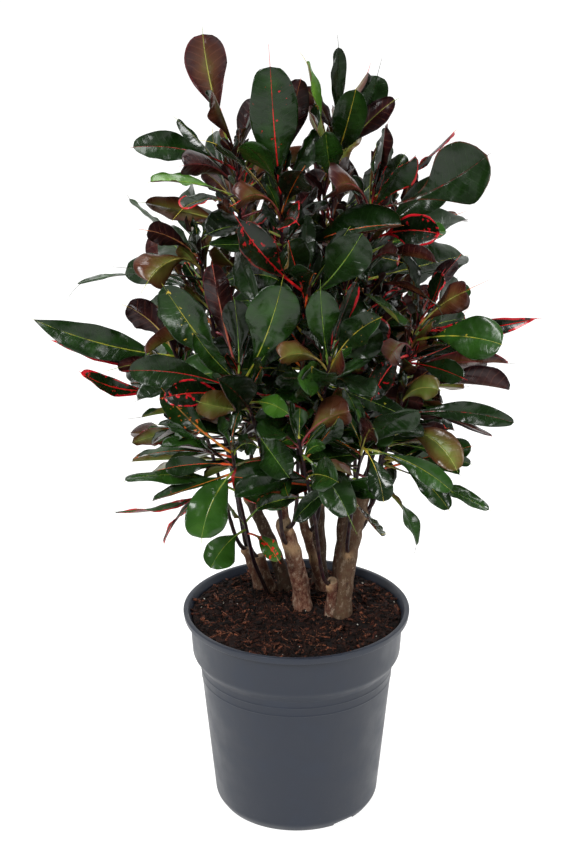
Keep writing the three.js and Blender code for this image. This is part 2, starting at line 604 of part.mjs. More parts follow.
// A point of the blade: u runs from -1 to 1 across it, and s from root to tip
function bladePoint(leaf, u, s) {
  const { point, across, normal } = leafFrame(leaf, s);
  const half = halfWidth(leaf, s);
  const reach = Math.abs(u);
  const angle = rad(leaf.fold + (leaf.cup * reach) / 2);
  const phase = leaf.waves * s + leaf.phase + (u > 0 ? WAVE_OFFSET : 0);
  const ripple = leaf.wave * u * u * Math.sin(2 * Math.PI * phase);
  const open = Math.min(1, (half * 2) / leaf.width);
  point.addScaledVector(across, Math.sign(u) * reach * half * Math.cos(angle));
  return point.addScaledVector(normal, reach * half * Math.sin(angle) + ripple * open);
}

// The blade's solid: an upper and a lower face that meet in a thin edge, split alike into triangles.
// It narrows to a point inside the stem.
function leafSolid(leaf) {
  const points = [vec(leaf.root)];
  for (const s of leaf.rows) {
    const thickness = mix(STALK_THICKNESS, MIDRIB_THICKNESS, Math.sqrt(bladeShare(s)));
    const { normal } = leafFrame(leaf, s);
    const middle = bladePoint(leaf, 0, s);
    points.push(bladePoint(leaf, 1, s), middle.clone().addScaledVector(normal, thickness / 2));
    points.push(bladePoint(leaf, -1, s), middle.clone().addScaledVector(normal, -thickness / 2));
  }
  points.push(bladePoint(leaf, 0, 1));
  const tip = points.length - 1;
  const faces = [[0, 2, 1], [0, 3, 2], [0, 1, 4], [0, 4, 3]];
  leaf.rows.forEach((s, row) => {
    const [left, top, right, under] = [1, 2, 3, 4].map((corner) => row * 4 + corner);
    if (row === leaf.rows.length - 1) {
      faces.push([top, tip, left], [top, right, tip], [under, left, tip], [under, tip, right]);
    } else {
      faces.push([top, top + 4, left + 4], [top, left + 4, left]);
      faces.push([top, right, right + 4], [top, right + 4, top + 4]);
      faces.push([under, left + 4, under + 4], [under, left, left + 4]);
      faces.push([under, right + 4, right], [under, under + 4, right + 4]);
    }
  });
  const vertProperties = new Float32Array(points.flatMap((point) => point.toArray()));
  const triVerts = new Uint32Array(faces.flat());
  return new wasm.Manifold(new wasm.Mesh({ numProp: 3, vertProperties, triVerts }));
}

// Sets a leaf's line so that it starts at its root and ends at its tip, and rolls it to face a way
function aimLeaf(leaf, tip, face) {
  const chord = tip.clone().sub(vec(leaf.root));
  const span = chord.length();
  const halfBend = rad(leaf.bend) / 2;
  const slack = Math.abs(halfBend) < 1e-6 ? 1 : halfBend / Math.sin(halfBend);
  const azimuth = THREE.MathUtils.radToDeg(Math.atan2(chord.y, chord.x)) - leaf.turn / 2;
  const rise = THREE.MathUtils.radToDeg(Math.asin(chord.z / span)) - leaf.bend / 2;
  const aimed = { ...leaf, length: span * slack, azimuth, rise, roll: 0 };
  const { across, normal } = leafFrame(aimed, FACE_STATION);
  aimed.roll = THREE.MathUtils.radToDeg(Math.atan2(-vec(face).dot(across), vec(face).dot(normal)));
  return aimed;
}

function setLeaf(curve, choice) {
  const { z, tip, face, ...form } = { ...SET_LEAF, ...choice };
  const root = curveAtHeight(curve, z).point.toArray();
  const phase = seededRandom(SEED + Math.round(z + tip[0] + tip[2]))();
  const whole = form.width < BROAD_WIDTH ? RULE_ROWS : SET_ROWS;
  const straight = form.kind === 'broken' ? BROKEN_ROWS : whole;
  const rows = Math.abs(form.twist) > SHARP_TWIST ? TWISTED_ROWS : straight;
  return { leaf: { root, phase, rows, ...form }, tip: vec(tip), face };
}

// A leaf grown by rule: "order" is 0 for the shoot's lowest leaf and 1 for the one at its heart
function ruleLeaf(curve, heart, order, azimuth, draw) {
  const spread = (range, share) => mix(range[0], range[1], share);
  const either = () => 2 * draw() - 1;
  const span = spread(LEAF_LENGTHS, order) * spread(LEAF_RANGES.span, draw());
  const rise = rad(spread(LEAF_RISES, order ** RISE_CURVE) + LEAF_STRAY.rise * either());
  const heading = rad(azimuth + LEAF_STRAY.heading * either());
  const root = curveAtHeight(curve, heart[2] - HEART_DEPTH - LEAF_BAND * (1 - order)).point;
  const level = Math.cos(rise);
  const step = new THREE.Vector3(level * Math.cos(heading), level * Math.sin(heading), Math.sin(rise));
  const tip = root.clone().addScaledVector(step, span);
  const strap = draw() < STRAP_SHARE;
  const slimness = spread(LEAF_SLIMNESS, draw()) * (strap ? STRAP_SLIMNESS : 1);
  const middle = root.clone().addScaledVector(step, span / 2);
  const outward = new THREE.Vector3(middle.x - CROWN_AXIS[0], middle.y - CROWN_AXIS[1], 0).normalize();
  const face = [outward.x + LEAF_STRAY.face * either(), outward.y + LEAF_STRAY.face * either(), FACE_UP];
  const leaf = {
    root: root.toArray(),
    width: span * slimness,
    bend: spread(LEAF_RANGES.bend, draw()),
    turn: LEAF_STRAY.turn * either(),
    twist: LEAF_STRAY.twist * either(),
    fold: spread(LEAF_RANGES.fold, draw()),
    cup: LEAF_STRAY.cup * either(),
    wave: spread(LEAF_RANGES.wave, draw()),
    waves: spread(LEAF_RANGES.waves, draw()),
    phase: draw(),
    kind: strap ? 'strap' : 'spoon',
    rows: RULE_ROWS,
  };
  return { leaf, tip, face };
}

// Room: points spread over a leaf, against those of the leaves before it and against stems and trunks

function leafPoints(leaf, stations, places) {
  return stations.flatMap((s) => places.map((u) => ({ point: bladePoint(leaf, u, s), s })));
}

function poles(curves) {
  const between = (curve, count, radii, owner) => {
    const points = curve.getPoints(count);
    return points.slice(1).map((end, i) => ({
      line: new THREE.Line3(points[i], end),
      owner,
      clearance: mix(radii[0], radii[1], (i + 0.5) / count) + WOOD_CLEARANCE,
    }));
  };
  const logs = Object.values(TRUNKS);
  const trunks = logs.map((log) => between(trunkCurve(log), TRUNK_STEPS, log.radii, 'wood'));
  const stems = Object.entries(curves).map(([name, curve]) => between(curve, STEM_STEPS, STEM_RADII, name));
  return [...trunks, ...stems].flat();
}

function insideCrown(point) {
  const away = Math.hypot(point.x - CROWN_AXIS[0], point.y - CROWN_AXIS[1]);
  const lowest = mix(CROWN_BOTTOM[0], CROWN_BOTTOM[1], away / CROWN_REACH);
  const upper = CROWN_OUTLINE.findIndex(([height]) => height > point.z);
  if (upper < 1 || point.z < lowest) return false;
  const [lowHeight, lowRadius] = CROWN_OUTLINE[upper - 1];
  const [highHeight, highRadius] = CROWN_OUTLINE[upper];
  const share = (point.z - lowHeight) / (highHeight - lowHeight);
  return away < mix(lowRadius, highRadius, share);
}

function clearOfWood(points, name, wood) {
  const nearest = new THREE.Vector3();
  return points.every(({ point }) => point.z > LOWEST_LEAF && wood.every(({ line, owner, clearance }) => {
    line.closestPointToPoint(point, true, nearest);
    return owner === name || nearest.distanceToSquared(point) > clearance * clearance;
  }));
}

function clearOfLeaves(points, name, taken, trim) {
  return points.every(({ point, s }) => taken.every((other) => {
    const own = other.owner === name;
    if (own && (other.s < OWN_ROOT || s < OWN_ROOT)) return true;
    const needed = (own ? OWN_CLEARANCE : LEAF_CLEARANCE) * trim;
    return point.distanceToSquared(other.point) > needed * needed;
  }));
}

// Small moves that are tried in turn where a leaf with a place of its own would touch another
const NUDGES = [
  [0, 0, 0], [0, -10, 0], [0, 10, 0], [0, -10, 8], [0, -10, -8], [0, 14, 8], [0, 14, -8],
  [0, -22, 0], [0, 22, 0], [-8, -12, 0], [8, -12, 0], [0, -32, 6], [0, 32, 6], [0, -32, -10], [0, -44, 0],
];

function placeLeaves(curves) {
  const wood = poles(curves);
  const taken = [];
  const placed = Object.fromEntries(Object.keys(SHOOTS).map((name) => [name, []]));
  const settle = (name, leaf, trim, mayStand) => {
    const coarse = leafPoints(leaf, COARSE_STATIONS, COARSE_PLACES);
    if (!mayStand(coarse) || !clearOfLeaves(coarse, name, taken, trim)) return false;
    if (!clearOfWood(leafPoints(leaf, FINE_STATIONS, FINE_PLACES), name, wood)) return false;
    placed[name].push(leaf);
    taken.push(...coarse.map((entry) => ({ ...entry, owner: name })));
    return true;
  };
  for (const [name, choices] of Object.entries(SET_LEAVES)) {
    for (const choice of choices) {
      const { leaf, tip, face } = setLeaf(curves[name], choice);
      NUDGES.some((nudge) => {
        const aimed = aimLeaf(leaf, tip.clone().add(vec(nudge)), face);
        return settle(name, aimed, SET_TRIM, () => true);
      });
    }
  }
  Object.entries(SHOOTS).forEach(([name, { heart, leaves }], number) => {
    for (let i = 0; i < leaves; i += 1) {
      const draw = seededRandom(SEED + 1000 * number + i);
      for (let attempt = 0; attempt < TRIES; attempt += 1) {
        const azimuth = SHOOT_TURN * number + GOLDEN_ANGLE * i + TRY_TURN * attempt;
        const { leaf, tip, face } = ruleLeaf(curves[name], heart, i / (leaves - 1), azimuth, draw);
        const inCrown = (points) => points.every(({ point }) => insideCrown(point));
        if (settle(name, aimLeaf(leaf, tip, face), 1, inCrown)) break;
      }
    }
  });
  return placed;
}

function makeShoot(curve, leaves) {
  const stem = bentTube(curve, STEM_RADII, STEM_SIDES, STEM_STEPS);
  return largestBody(leaves.reduce((shoot, leaf) => shoot.add(leafSolid(leaf)), stem));
}

// The plant in its pot

const croton = new THREE.Group();
croton.name = 'potted_croton';

const curves = Object.fromEntries(Object.entries(SHOOTS).map(([name, shoot]) => [name, stemCurve(shoot)]));
const leaves = placeLeaves(curves);
const holes = [
  ...Object.values(TRUNKS)
    .filter((trunk) => !trunk.foot)
    .map((trunk) => bentTube(trunkCurve(trunk), trunk.radii, TRUNK_SIDES, TRUNK_STEPS, GAP)),
  ...Object.entries(SHOOTS)
    .filter(([, shoot]) => shoot.route)
    .map(([name]) => bentTube(curves[name], STEM_RADII, STEM_SIDES, STEM_STEPS, GAP)),
];

croton.add(namedMesh('pot', makePot(), POT_PLASTIC));
croton.add(namedMesh('soil', makeSoil(holes), SOIL_PEAT));
for (const name of Object.keys(TRUNKS).filter((trunk) => !TRUNKS[trunk].joins)) {
  croton.add(namedMesh(name, makeTrunk(name, curves), BARK));
}
for (const name of Object.keys(SHOOTS)) {
  croton.add(namedMesh(name, makeShoot(curves[name], leaves[name]), LEAF_GREEN));
}

export default croton;
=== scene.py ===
"""The looks of the potted croton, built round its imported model.

Lengths are in millimetres here, as in the part itself, and become metres where a mesh is finished.
The rule by which leaves grow is the part's own, so each fine leaf lies where its plain one does.
"""
import logging
import math
import random
from dataclasses import dataclass, field, replace
from enum import Enum
from functools import lru_cache
from typing import Optional, Sequence, Union

import bmesh
import bpy
import numpy as np
from mathutils import Matrix, Vector, noise


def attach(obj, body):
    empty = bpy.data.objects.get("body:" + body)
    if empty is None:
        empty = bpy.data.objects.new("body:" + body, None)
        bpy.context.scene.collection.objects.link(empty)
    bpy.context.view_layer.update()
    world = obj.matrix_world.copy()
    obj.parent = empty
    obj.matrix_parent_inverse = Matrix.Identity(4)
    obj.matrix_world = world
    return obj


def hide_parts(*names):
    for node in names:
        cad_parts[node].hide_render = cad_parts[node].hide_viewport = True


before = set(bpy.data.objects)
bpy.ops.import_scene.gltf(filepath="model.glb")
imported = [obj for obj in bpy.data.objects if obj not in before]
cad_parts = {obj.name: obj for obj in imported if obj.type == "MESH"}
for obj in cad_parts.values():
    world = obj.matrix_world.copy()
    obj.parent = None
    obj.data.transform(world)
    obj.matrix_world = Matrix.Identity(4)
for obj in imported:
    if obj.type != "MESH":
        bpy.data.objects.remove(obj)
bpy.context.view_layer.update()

log = logging.getLogger("croton")

MM = 0.001
Point = Sequence[float]
Input = Union["Signal", str, float, Point]


# Colours and nodes


def linear(hex_colour: str) -> tuple[float, float, float, float]:
    """Turns an sRGB hex colour into a linear one.

    Args:
        hex_colour: Six hex digits after a hash.

    Returns:
        Linear red, green and blue, and an alpha of 1.
    """
    parts = [int(hex_colour[i:i + 2], 16) / 255 for i in (1, 3, 5)]
    red, green, blue = [c / 12.92 if c <= 0.04045 else ((c + 0.055) / 1.055) ** 2.4 for c in parts]
    return red, green, blue, 1.0


def feed(socket: bpy.types.NodeSocket, value: Input) -> None:
    """Gives an input a signal, a hex colour, a number or a vector.

    Args:
        socket: The input.
        value: What it is given.
    """
    if isinstance(value, Signal):
        value.tree.links.new(value.socket, socket)
    else:
        socket.default_value = linear(value) if isinstance(value, str) else value


def add_node(
    tree: bpy.types.NodeTree, kind: str, inputs: Optional[dict[int | str, Input]] = None,
    output: int | str = 0, stops: Sequence[tuple[float, str]] = (), **settings: object,
) -> "Signal":
    """Adds a node, sets it up and links it.

    Args:
        tree: The node tree that it goes into.
        kind: The node's type, without the words ShaderNode before it.
        inputs: What its inputs are given, by name or number.
        output: The output that is wanted, by name or number.
        stops: A colour ramp's places, from 0 to 1, and hex colours.
        settings: Its own properties.

    Returns:
        That output's signal.
    """
    made = tree.nodes.new("ShaderNode" + kind)
    for name, value in settings.items():
        setattr(made, name, value)
    for key, value in (inputs or {}).items():
        feed(made.inputs[key], value)
    for number, (place, colour) in enumerate(stops):
        elements = made.color_ramp.elements
        element = elements[number] if number < len(elements) else elements.new(place)
        element.position, element.color = place, linear(colour)
    return Signal(made.outputs[output])


class Signal:
    """A number, a vector or a colour on its way through nodes. A sum of signals adds its nodes."""

    def __init__(self, socket: bpy.types.NodeSocket) -> None:
        """Takes the socket that it comes out of."""
        self.socket = socket
        self.tree = socket.id_data

    def work(self, operation: str, *others: Input) -> "Signal":
        """Gives the result of a sum with this signal first."""
        return add_node(self.tree, "Math", dict(enumerate((self, *others))), operation=operation)

    def __add__(self, other: Input) -> "Signal":
        """Adds a signal or a number."""
        return self.work("ADD", other)

    def __sub__(self, other: Input) -> "Signal":
        """Takes a signal or a number away."""
        return self.work("SUBTRACT", other)

    def __rsub__(self, other: float) -> "Signal":
        """Takes this signal away from a number."""
        return add_node(self.tree, "Math", {0: other, 1: self}, operation="SUBTRACT")

    def __mul__(self, other: Input) -> "Signal":
        """Multiplies by a signal or a number."""
        return self.work("MULTIPLY", other)

    def __truediv__(self, other: Input) -> "Signal":
        """Divides by a signal or a number."""
        return self.work("DIVIDE", other)

    def __abs__(self) -> "Signal":
        """Drops the sign."""
        return self.work("ABSOLUTE")

    def parts(self) -> list["Signal"]:
        """Splits a vector into its three parts."""
        split = add_node(self.tree, "SeparateXYZ", {0: self})
        return [Signal(socket) for socket in split.socket.node.outputs]

    def fade(
        self, start: float, end: float, low: float = 0.0, high: float = 1.0, curve: str = "SMOOTHSTEP"
    ) -> "Signal":
        """Goes from one value to another as this signal goes from start to end.

        Args:
            start: Where the result is low.
            end: Where it is high, above or below start.
            low: The result at start and before it.
            high: The result at end and past it.
            curve: How it goes between them.

        Returns:
            The result.
        """
        if start > end:
            start, end, low, high = end, start, high, low
        inputs = {"Value": self, "From Min": start, "From Max": end, "To Min": low, "To Max": high}
        return add_node(self.tree, "MapRange", inputs, interpolation_type=curve)


def glaze(colour: Input, *layers: tuple[Signal, Input]) -> Signal:
    """Lays colours over one another.

    Args:
        colour: The lowest, as a signal or a hex colour.
        layers: How strongly each further colour covers those below it, as a signal, and the colour.

    Returns:
        The colour that shows.
    """
    for strength, shade in layers:
        inputs = {0: strength, 6: colour, 7: shade}
        colour = add_node(strength.tree, "Mix", inputs, output=2, data_type="RGBA")
    return colour


def relief(*layers: tuple[Signal, float]) -> Signal:
    """Stacks bumps, each on the one before it.

    Args:
        layers: Each bump's height, from 0 to 1, and its depth in millimetres.

    Returns:
        The last bump's normal.
    """
    under = {}
    for height, depth in layers:
        inputs = {"Strength": 1.0, "Distance": depth * MM, "Height": height, **under}
        under = {"Normal": add_node(height.tree, "Bump", inputs)}
    return under["Normal"]


def grain(place: Signal, spacing: float, detail: float = 3.0, **more: float) -> Signal:
    """Adds noise whose lumps lie about a spacing apart.

    Args:
        place: The coordinates, in metres.
        spacing: The distance between lumps in millimetres.
        detail: How many finer octaves it has.
        more: Other inputs of the noise.

    Returns:
        Its value from 0 to 1.
    """
    inputs = {"Vector": place, "Scale": 1 / (spacing * MM), "Detail": detail, **more}
    return add_node(place.tree, "TexNoise", inputs)


def object_place(tree: bpy.types.NodeTree, stretch: Point = (1, 1, 1)) -> Signal:
    """Gives the piece's own coordinates in metres, scaled along each axis by stretch."""
    place = add_node(tree, "TexCoord", output="Object")
    return add_node(tree, "Mapping", {"Vector": place, "Scale": stretch})


# Finishes


@dataclass(frozen=True)
class Finish:
    """What every finish has: a name, and feeds for the inputs of its Principled surface."""

    name: str

    def feeds(self, tree: bpy.types.NodeTree) -> dict[str, Input]:
        """Gives each input that isn't left plain, adding the nodes that it takes."""
        raise NotImplementedError

    def make(self) -> bpy.types.Material:
        """Makes the material.

        Returns:
            The material, with its nodes.
        """
        material = bpy.data.materials.new(self.name)
        material.use_nodes = True
        surface = material.node_tree.nodes["Principled BSDF"]
        for key, value in self.feeds(material.node_tree).items():
            feed(surface.inputs[key], value)
        return material


@dataclass(frozen=True)
class MouldedPolypropylene(Finish):
    """The pot: injection-moulded polypropylene, dyed anthracite with a little blue.

    It has a satin skin with fine orange peel, paler where it was rubbed, and dust towards its foot.
    """

    name: str = "moulded_polypropylene"
    body: str = "#202632"
    rubbed: str = "#232a37"
    dust: str = "#474645"
    peel_spacing: float = 1.4
    speck_spacing: float = 3.0
    scratch_spacing: float = 5.0
    scuff_spacing: float = 26.0
    dust_height: float = 0.05
    roughness: tuple[float, float] = (0.36, 0.52)

    def feeds(self, tree: bpy.types.NodeTree) -> dict[str, Input]:
        """Adds scuffs, scratches, dust and the orange peel.

        Args:
            tree: The material's node tree.

        Returns:
            What each input of the surface is given.
        """
        place = object_place(tree)
        cloud = grain(place, self.scuff_spacing, 4.0)
        scratch = grain(object_place(tree, (1, 1, 0.12)), self.scratch_spacing, 5.0)
        speck = grain(place, self.speck_spacing, 6.0, Roughness=0.75)
        low = place.parts()[2].fade(self.dust_height, 0.0)
        colour = glaze(
            self.body, (cloud.fade(0.45, 0.75), self.rubbed), (scratch.fade(0.66, 0.78) * 0.35, self.rubbed),
            (speck.fade(0.6, 0.72) * (low + 0.12), self.dust))
        return {
            "Base Color": colour,
            "Roughness": cloud.fade(0.3, 0.7, *self.roughness, "LINEAR"),
            "IOR": 1.49,
            "Specular IOR Level": 0.4,
            "Normal": relief((grain(place, self.peel_spacing, 2.0), 0.03), (scratch, 0.05), (cloud, 0.25)),
        }


@dataclass(frozen=True)
class Peat(Finish):
    """Moist potting peat: dark brown crumbs with reddish bark fibres, matt, darker where it is damp."""

    name: str = "moist_peat"
    damp: str = "#0b0504"
    dry: str = "#24140f"
    rust: str = "#4a2518"
    # Painted shade: the near-black that is laid into the hollows between crumbs.
    gaps: str = "#0e0806"
    crumb_spacing: float = 3.2
    patch_spacing: float = 30.0

    def feeds(self, tree: bpy.types.NodeTree) -> dict[str, Input]:
        """Adds damp patches and crumbs, and painted shade in the hollows between the crumbs.

        Args:
            tree: The material's node tree.

        Returns:
            What each input of the surface is given.
        """
        place = object_place(tree)
        crumbs = grain(place, self.crumb_spacing, 6.0, Roughness=0.7)
        # The last layer is painted shade: near-black where the crumbs' relief is lowest.
        colour = glaze(
            self.damp, (grain(place, self.patch_spacing).fade(0.35, 0.7), self.dry),
            (crumbs.fade(0.55, 0.72), self.rust), (crumbs.fade(0.45, 0.3), self.gaps))
        return {
            "Base Color": colour,
            "Roughness": 0.92,
            "Specular IOR Level": 0.25,
            "Normal": relief((crumbs, 1.2)),
        }


@dataclass(frozen=True)
class Litter(Finish):
    """What is mixed into the peat: bark chips, fibres or perlite, each piece in a shade of its own."""

    name: str
    shades: tuple[str, str, str]
    roughness: float = 0.85
    fibre_spacing: float = 1.6
    stops: tuple[float, float, float] = (0.1, 0.5, 0.95)

    def feeds(self, tree: bpy.types.NodeTree) -> dict[str, Input]:
        """Adds each bit's shade and its fibres.

        Args:
            tree: The material's node tree.

        Returns:
            What each input of the surface is given.
        """
        fibre = grain(object_place(tree), self.fibre_spacing, 4.0)
        lot = add_node(tree, "Attribute", output="Fac", attribute_name="lot")
        colour = add_node(tree, "ValToRGB", {0: lot}, stops=tuple(zip(self.stops, self.shades)))
        return {
            "Base Color": glaze(colour, (fibre.fade(0.62, 0.42), self.shades[0])),
            "Roughness": self.roughness,
            "Specular IOR Level": 0.2,
            "Normal": relief((fibre, 0.3)),
        }


@dataclass(frozen=True)
class CrotonBark(Finish):
    """Old croton bark: grey-brown and matt, cracked along the trunk, with paler corky scars.
    Its attribute "bark" holds hue, age and scar."""

    name: str = "croton_bark"
    olive: str = "#4d3f2a"
    pink: str = "#7d5846"
    old: str = "#2b1f18"
    rust: str = "#4a2015"
    crack: str = "#21150f"
    scar: str = "#a98966"
    pale: str = "#b5a48f"
    crack_spacing: float = 3.0
    flake_spacing: float = 4.2
    blotch_spacing: float = 11.0
    fine_spacing: float = 0.9

    def feeds(self, tree: bpy.types.NodeTree) -> dict[str, Input]:
        """Adds hues, flakes, blotches, scars and cracks.

        Args:
            tree: The material's node tree.

        Returns:
            What each input of the surface is given.
        """
        place = object_place(tree)
        cracks = grain(object_place(tree, (1, 1, 0.4)), self.crack_spacing, 7.0, Roughness=0.7)
        blotch = grain(place, self.blotch_spacing, 5.0, Roughness=0.65)
        flake = grain(object_place(tree, (1, 1, 0.6)), self.flake_spacing, 6.0, Roughness=0.7)
        hue, age, scar = add_node(tree, "Attribute", output="Vector", attribute_name="bark").parts()
        colour = glaze(
            self.olive,
            (hue, self.pink),
            (age * 0.85, self.old),
            (flake.fade(0.5, 0.58) * (hue * 0.75 + 0.2), self.rust),
            (flake.fade(0.46, 0.38) * (hue * 0.7 + 0.12) * 0.8, self.pale),
            (blotch.fade(0.42, 0.3) * 0.6, self.old),
            (blotch.fade(0.64, 0.72) * flake.fade(0.4, 0.5) * 0.7, self.pale),
            (scar * 0.85, self.scar),
            (cracks.fade(0.43, 0.34) * 0.8, self.crack),
        )
        bumps = relief((cracks, 1.6), (flake, 0.8), (grain(place, self.fine_spacing, 4.0), 0.2))
        return {"Base Color": colour, "Roughness": 0.82, "Specular IOR Level": 0.3, "Normal": bumps}


@dataclass(frozen=True)
class CutWood(Finish):
    """The sawn tops: dry sapwood with faint rings, browned and greyed by weather."""

    name: str = "weathered_cut_wood"
    sap: str = "#957b5e"
    grey: str = "#736657"
    stain: str = "#5e4c3c"
    wander: float = 7.0
    ring_spacing: float = 1.6
    stain_spacing: float = 4.0

    def feeds(self, tree: bpy.types.NodeTree) -> dict[str, Input]:
        """Adds rings and stains.

        Args:
            tree: The material's node tree.

        Returns:
            What each input of the surface is given.
        """
        place = object_place(tree)
        rings = (grain(place, self.wander, 2.0) * (self.wander / self.ring_spacing)).work("PINGPONG", 0.5)
        stains = grain(place, self.stain_spacing, 4.0).fade(0.6, 0.75)
        colour = glaze(self.sap, (rings, self.grey), (stains, self.stain))
        return {"Base Color": colour, "Roughness": 0.8, "Normal": relief((rings, 0.3))}


@dataclass(frozen=True)
class StemSkin(Finish):
    """The skin of young stems and bare midribs: smooth, purple-brown, corky and grey lower down.

    Its attribute "bark" holds how woody it is, and where leaf scars are.
    """

    name: str = "young_stem_skin"
    young: str = "#1a0912"
    red: str = "#34101c"
    woody: str = "#2c1f19"
    scar: str = "#6b5648"
    patch_spacing: float = 5.0

    def feeds(self, tree: bpy.types.NodeTree) -> dict[str, Input]:
        """Adds red patches, cork and leaf scars.

        Args:
            tree: The material's node tree.

        Returns:
            What each input of the surface is given.
        """
        woody, _, scar = add_node(tree, "Attribute", output="Vector", attribute_name="bark").parts()
        patches = grain(object_place(tree, (1, 1, 0.3)), self.patch_spacing, 4.0)
        colour = glaze(
            self.young, (patches.fade(0.5, 0.75), self.red), (woody, self.woody), (scar * 0.3, self.scar))
        return {
            "Base Color": colour,
            "Roughness": 0.45,
            "Specular IOR Level": 0.16,
            "Normal": relief((patches, 0.3)),
        }


@dataclass(frozen=True)
class LeafSkin(Finish):
    """One side of a croton leaf, which has a thick waxy skin.

    Each leaf carries attributes of its own: "blade" is the distance from the midrib, the distance from
    the root and the distance from the edge, in millimetres, "rib" is the distance from the midrib in
    half midribs, "dress" is the midrib's colour, the margin's strength and the strength of spots, and
    "shade" is how pale the leaf is, how olive its underside is, and its lot number. Its patterns are
    noise in millimetres: spots of about 5, clouds of about 22 and a grain of about 1, each given as
    lumps to the millimetre and finer octaves.
    """

    shades: tuple[tuple[float, str], ...]
    shade_axis: int
    roughness: tuple[float, float]
    rib_shades: tuple[tuple[float, str], ...]
    vein_colour: str
    vein_strength: float
    margin_colour: str
    rib_rise: float
    middle_lift: float
    vein_spacing: float = 7.5
    vein_slope: float = 0.55
    vein_wander: float = 9.0
    vein_rise: float = 0.14
    lot_spread: float = 300.0
    patterns: tuple[tuple[float, float], ...] = ((0.19, 3.0), (0.045, 2.0), (1.1, 2.0))

    def feeds(self, tree: bpy.types.NodeTree) -> dict[str, Input]:
        """Adds the blade's shades, its veins, spots, margin and midrib, and their relief.

        Args:
            tree: The material's node tree.

        Returns:
            What each input of the surface is given.
        """
        blade, dress, shade = [
            add_node(tree, "Attribute", output="Vector", attribute_name=name).parts()
            for name in ("blade", "dress", "shade")
        ]
        side, along, edge = blade
        rib_hue, margin, spots = dress
        across, rib = abs(side), add_node(tree, "Attribute", output="Fac", attribute_name="rib")
        spot = add_node(tree, "CombineXYZ", {0: side, 1: along, 2: shade[2] * self.lot_spread})
        small, cloud, fine = [
            add_node(tree, "TexNoise", {"Vector": spot, "Scale": scale, "Detail": detail})
            for scale, detail in self.patterns
        ]
        run = along - across * self.vein_slope + cloud * self.vein_wander
        vein = (run / self.vein_spacing).work("PINGPONG", 0.5).fade(0.1, 0.0) * edge.fade(0.8, 3.0)
        frayed = rib + (0.5 - small) * (spots * 1.8 + 0.4)
        midrib = frayed.fade(1.15, 0.7) * cloud.fade(0.28, 0.5)
        inner = edge / (across + edge + 0.5)
        tone = shade[self.shade_axis] + cloud * 0.4 + inner * self.middle_lift
        chance = spots * 0.13 + across.fade(14.0, 1.0) * 0.05
        patch = (small + chance).fade(0.76, 0.8) * spots.fade(0.02, 0.25)
        rim = edge - small * 1.4 - margin * 1.1 + (0.5 - cloud) * 5.0
        rim = rim.fade(0.7, -0.1) * margin.fade(0.0, 0.5) * (cloud + small).fade(0.85, 1.0)
        green = tone - (0.2 + self.middle_lift * 0.45)
        rib_colour = add_node(tree, "ValToRGB", {0: (small - 0.5) * 0.5 + rib_hue}, stops=self.rib_shades)
        colour = glaze(
            add_node(tree, "ValToRGB", {0: green}, stops=self.shades),
            (vein * self.vein_strength, self.vein_colour),
            (patch, rib_colour),
            (rim, self.margin_colour),
            (midrib, rib_colour),
        )
        return {
            "Base Color": colour,
            "Roughness": cloud.fade(0.3, 0.7, *self.roughness, "LINEAR"),
            "Normal": relief(
                (rib.fade(2.2, 0.0), self.rib_rise), (vein, self.rib_rise * self.vein_rise), (cloud, 3.2),
                (small, 0.12), (fine, 0.006)),
            "IOR": 1.41,
        }


@dataclass(frozen=True)
class PaperSweep(Finish):
    """The floor: matt grey card that glows a little, less so towards the viewer."""

    name: str = "paper_sweep"
    colour: str = "#929290"
    light: str = "#ffffff"
    glow: float = 0.92
    dimmed: float = 0.35
    span: tuple[float, float] = (-1.8, -0.2)

    def feeds(self, tree: bpy.types.NodeTree) -> dict[str, Input]:
        """Adds the glow.

        Args:
            tree: The material's node tree.

        Returns:
            What each input of the surface is given.
        """
        near = object_place(tree).parts()[1].fade(*self.span, self.dimmed, 1.0, "LINEAR")
        return {
            "Base Color": self.colour,
            "Roughness": 0.9,
            "Specular IOR Level": 0.1,
            "Emission Color": self.light,
            "Emission Strength": near * self.glow,
        }


PEAT_CRUMBS = Litter("peat_crumbs", ("#080403", "#1b0e0a", "#3f2217"), 0.92)
BARK_CHIPS = Litter("bark_chips", ("#190b07", "#4a2216", "#8c5239"), 0.8)
BARK_FIBRES = Litter("bark_fibres", ("#1d0d08", "#4a2418", "#8a5a42"), 0.8)
PERLITE = Litter("perlite_grains", ("#b9b4a8", "#dcd8ce", "#f0ede6"), 0.7)
UPPER_SKIN = LeafSkin(
    name="leaf_upper_skin",
    shades=((0.0, "#081105"), (0.35, "#112609"), (0.62, "#264a13"), (0.88, "#466f22"), (1.0, "#66902a")),
    shade_axis=0,
    roughness=(0.2, 0.3),
    rib_shades=(
        (0.0, "#6c8f38"), (0.22, "#b8a232"), (0.42, "#cf6a26"), (0.58, "#d8241e"), (0.74, "#b80f1e"),
        (0.86, "#451614"), (1.0, "#16280f")),
    vein_colour="#3c5c30",
    vein_strength=0.07,
    margin_colour="#b41220",
    rib_rise=-0.35,
    middle_lift=0.12,
)
UNDER_SKIN = LeafSkin(
    name="leaf_under_skin",
    shades=((0.0, "#1c070a"), (0.3, "#31100f"), (0.55, "#4c2b17"), (0.8, "#5a5222"), (1.0, "#62702e")),
    shade_axis=1,
    roughness=(0.22, 0.36),
    rib_shades=((0.0, "#98a04e"), (0.3, "#b08a48"), (0.6, "#a04a44"), (1.0, "#6b2430")),
    vein_colour="#7a4a3a",
    vein_strength=0.22,
    margin_colour="#6a1620",
    rib_rise=0.4,
    middle_lift=0.5,
)


# Meshes


def show(name: str, data: bpy.types.ID) -> bpy.types.Object:
    """Puts a mesh, a lamp or a camera into the scene.

    Args:
        name: The object's name.
        data: What it shows.

    Returns:
        The object.
    """
    made = bpy.data.objects.new(name, data)
    bpy.context.scene.collection.objects.link(made)
    return made


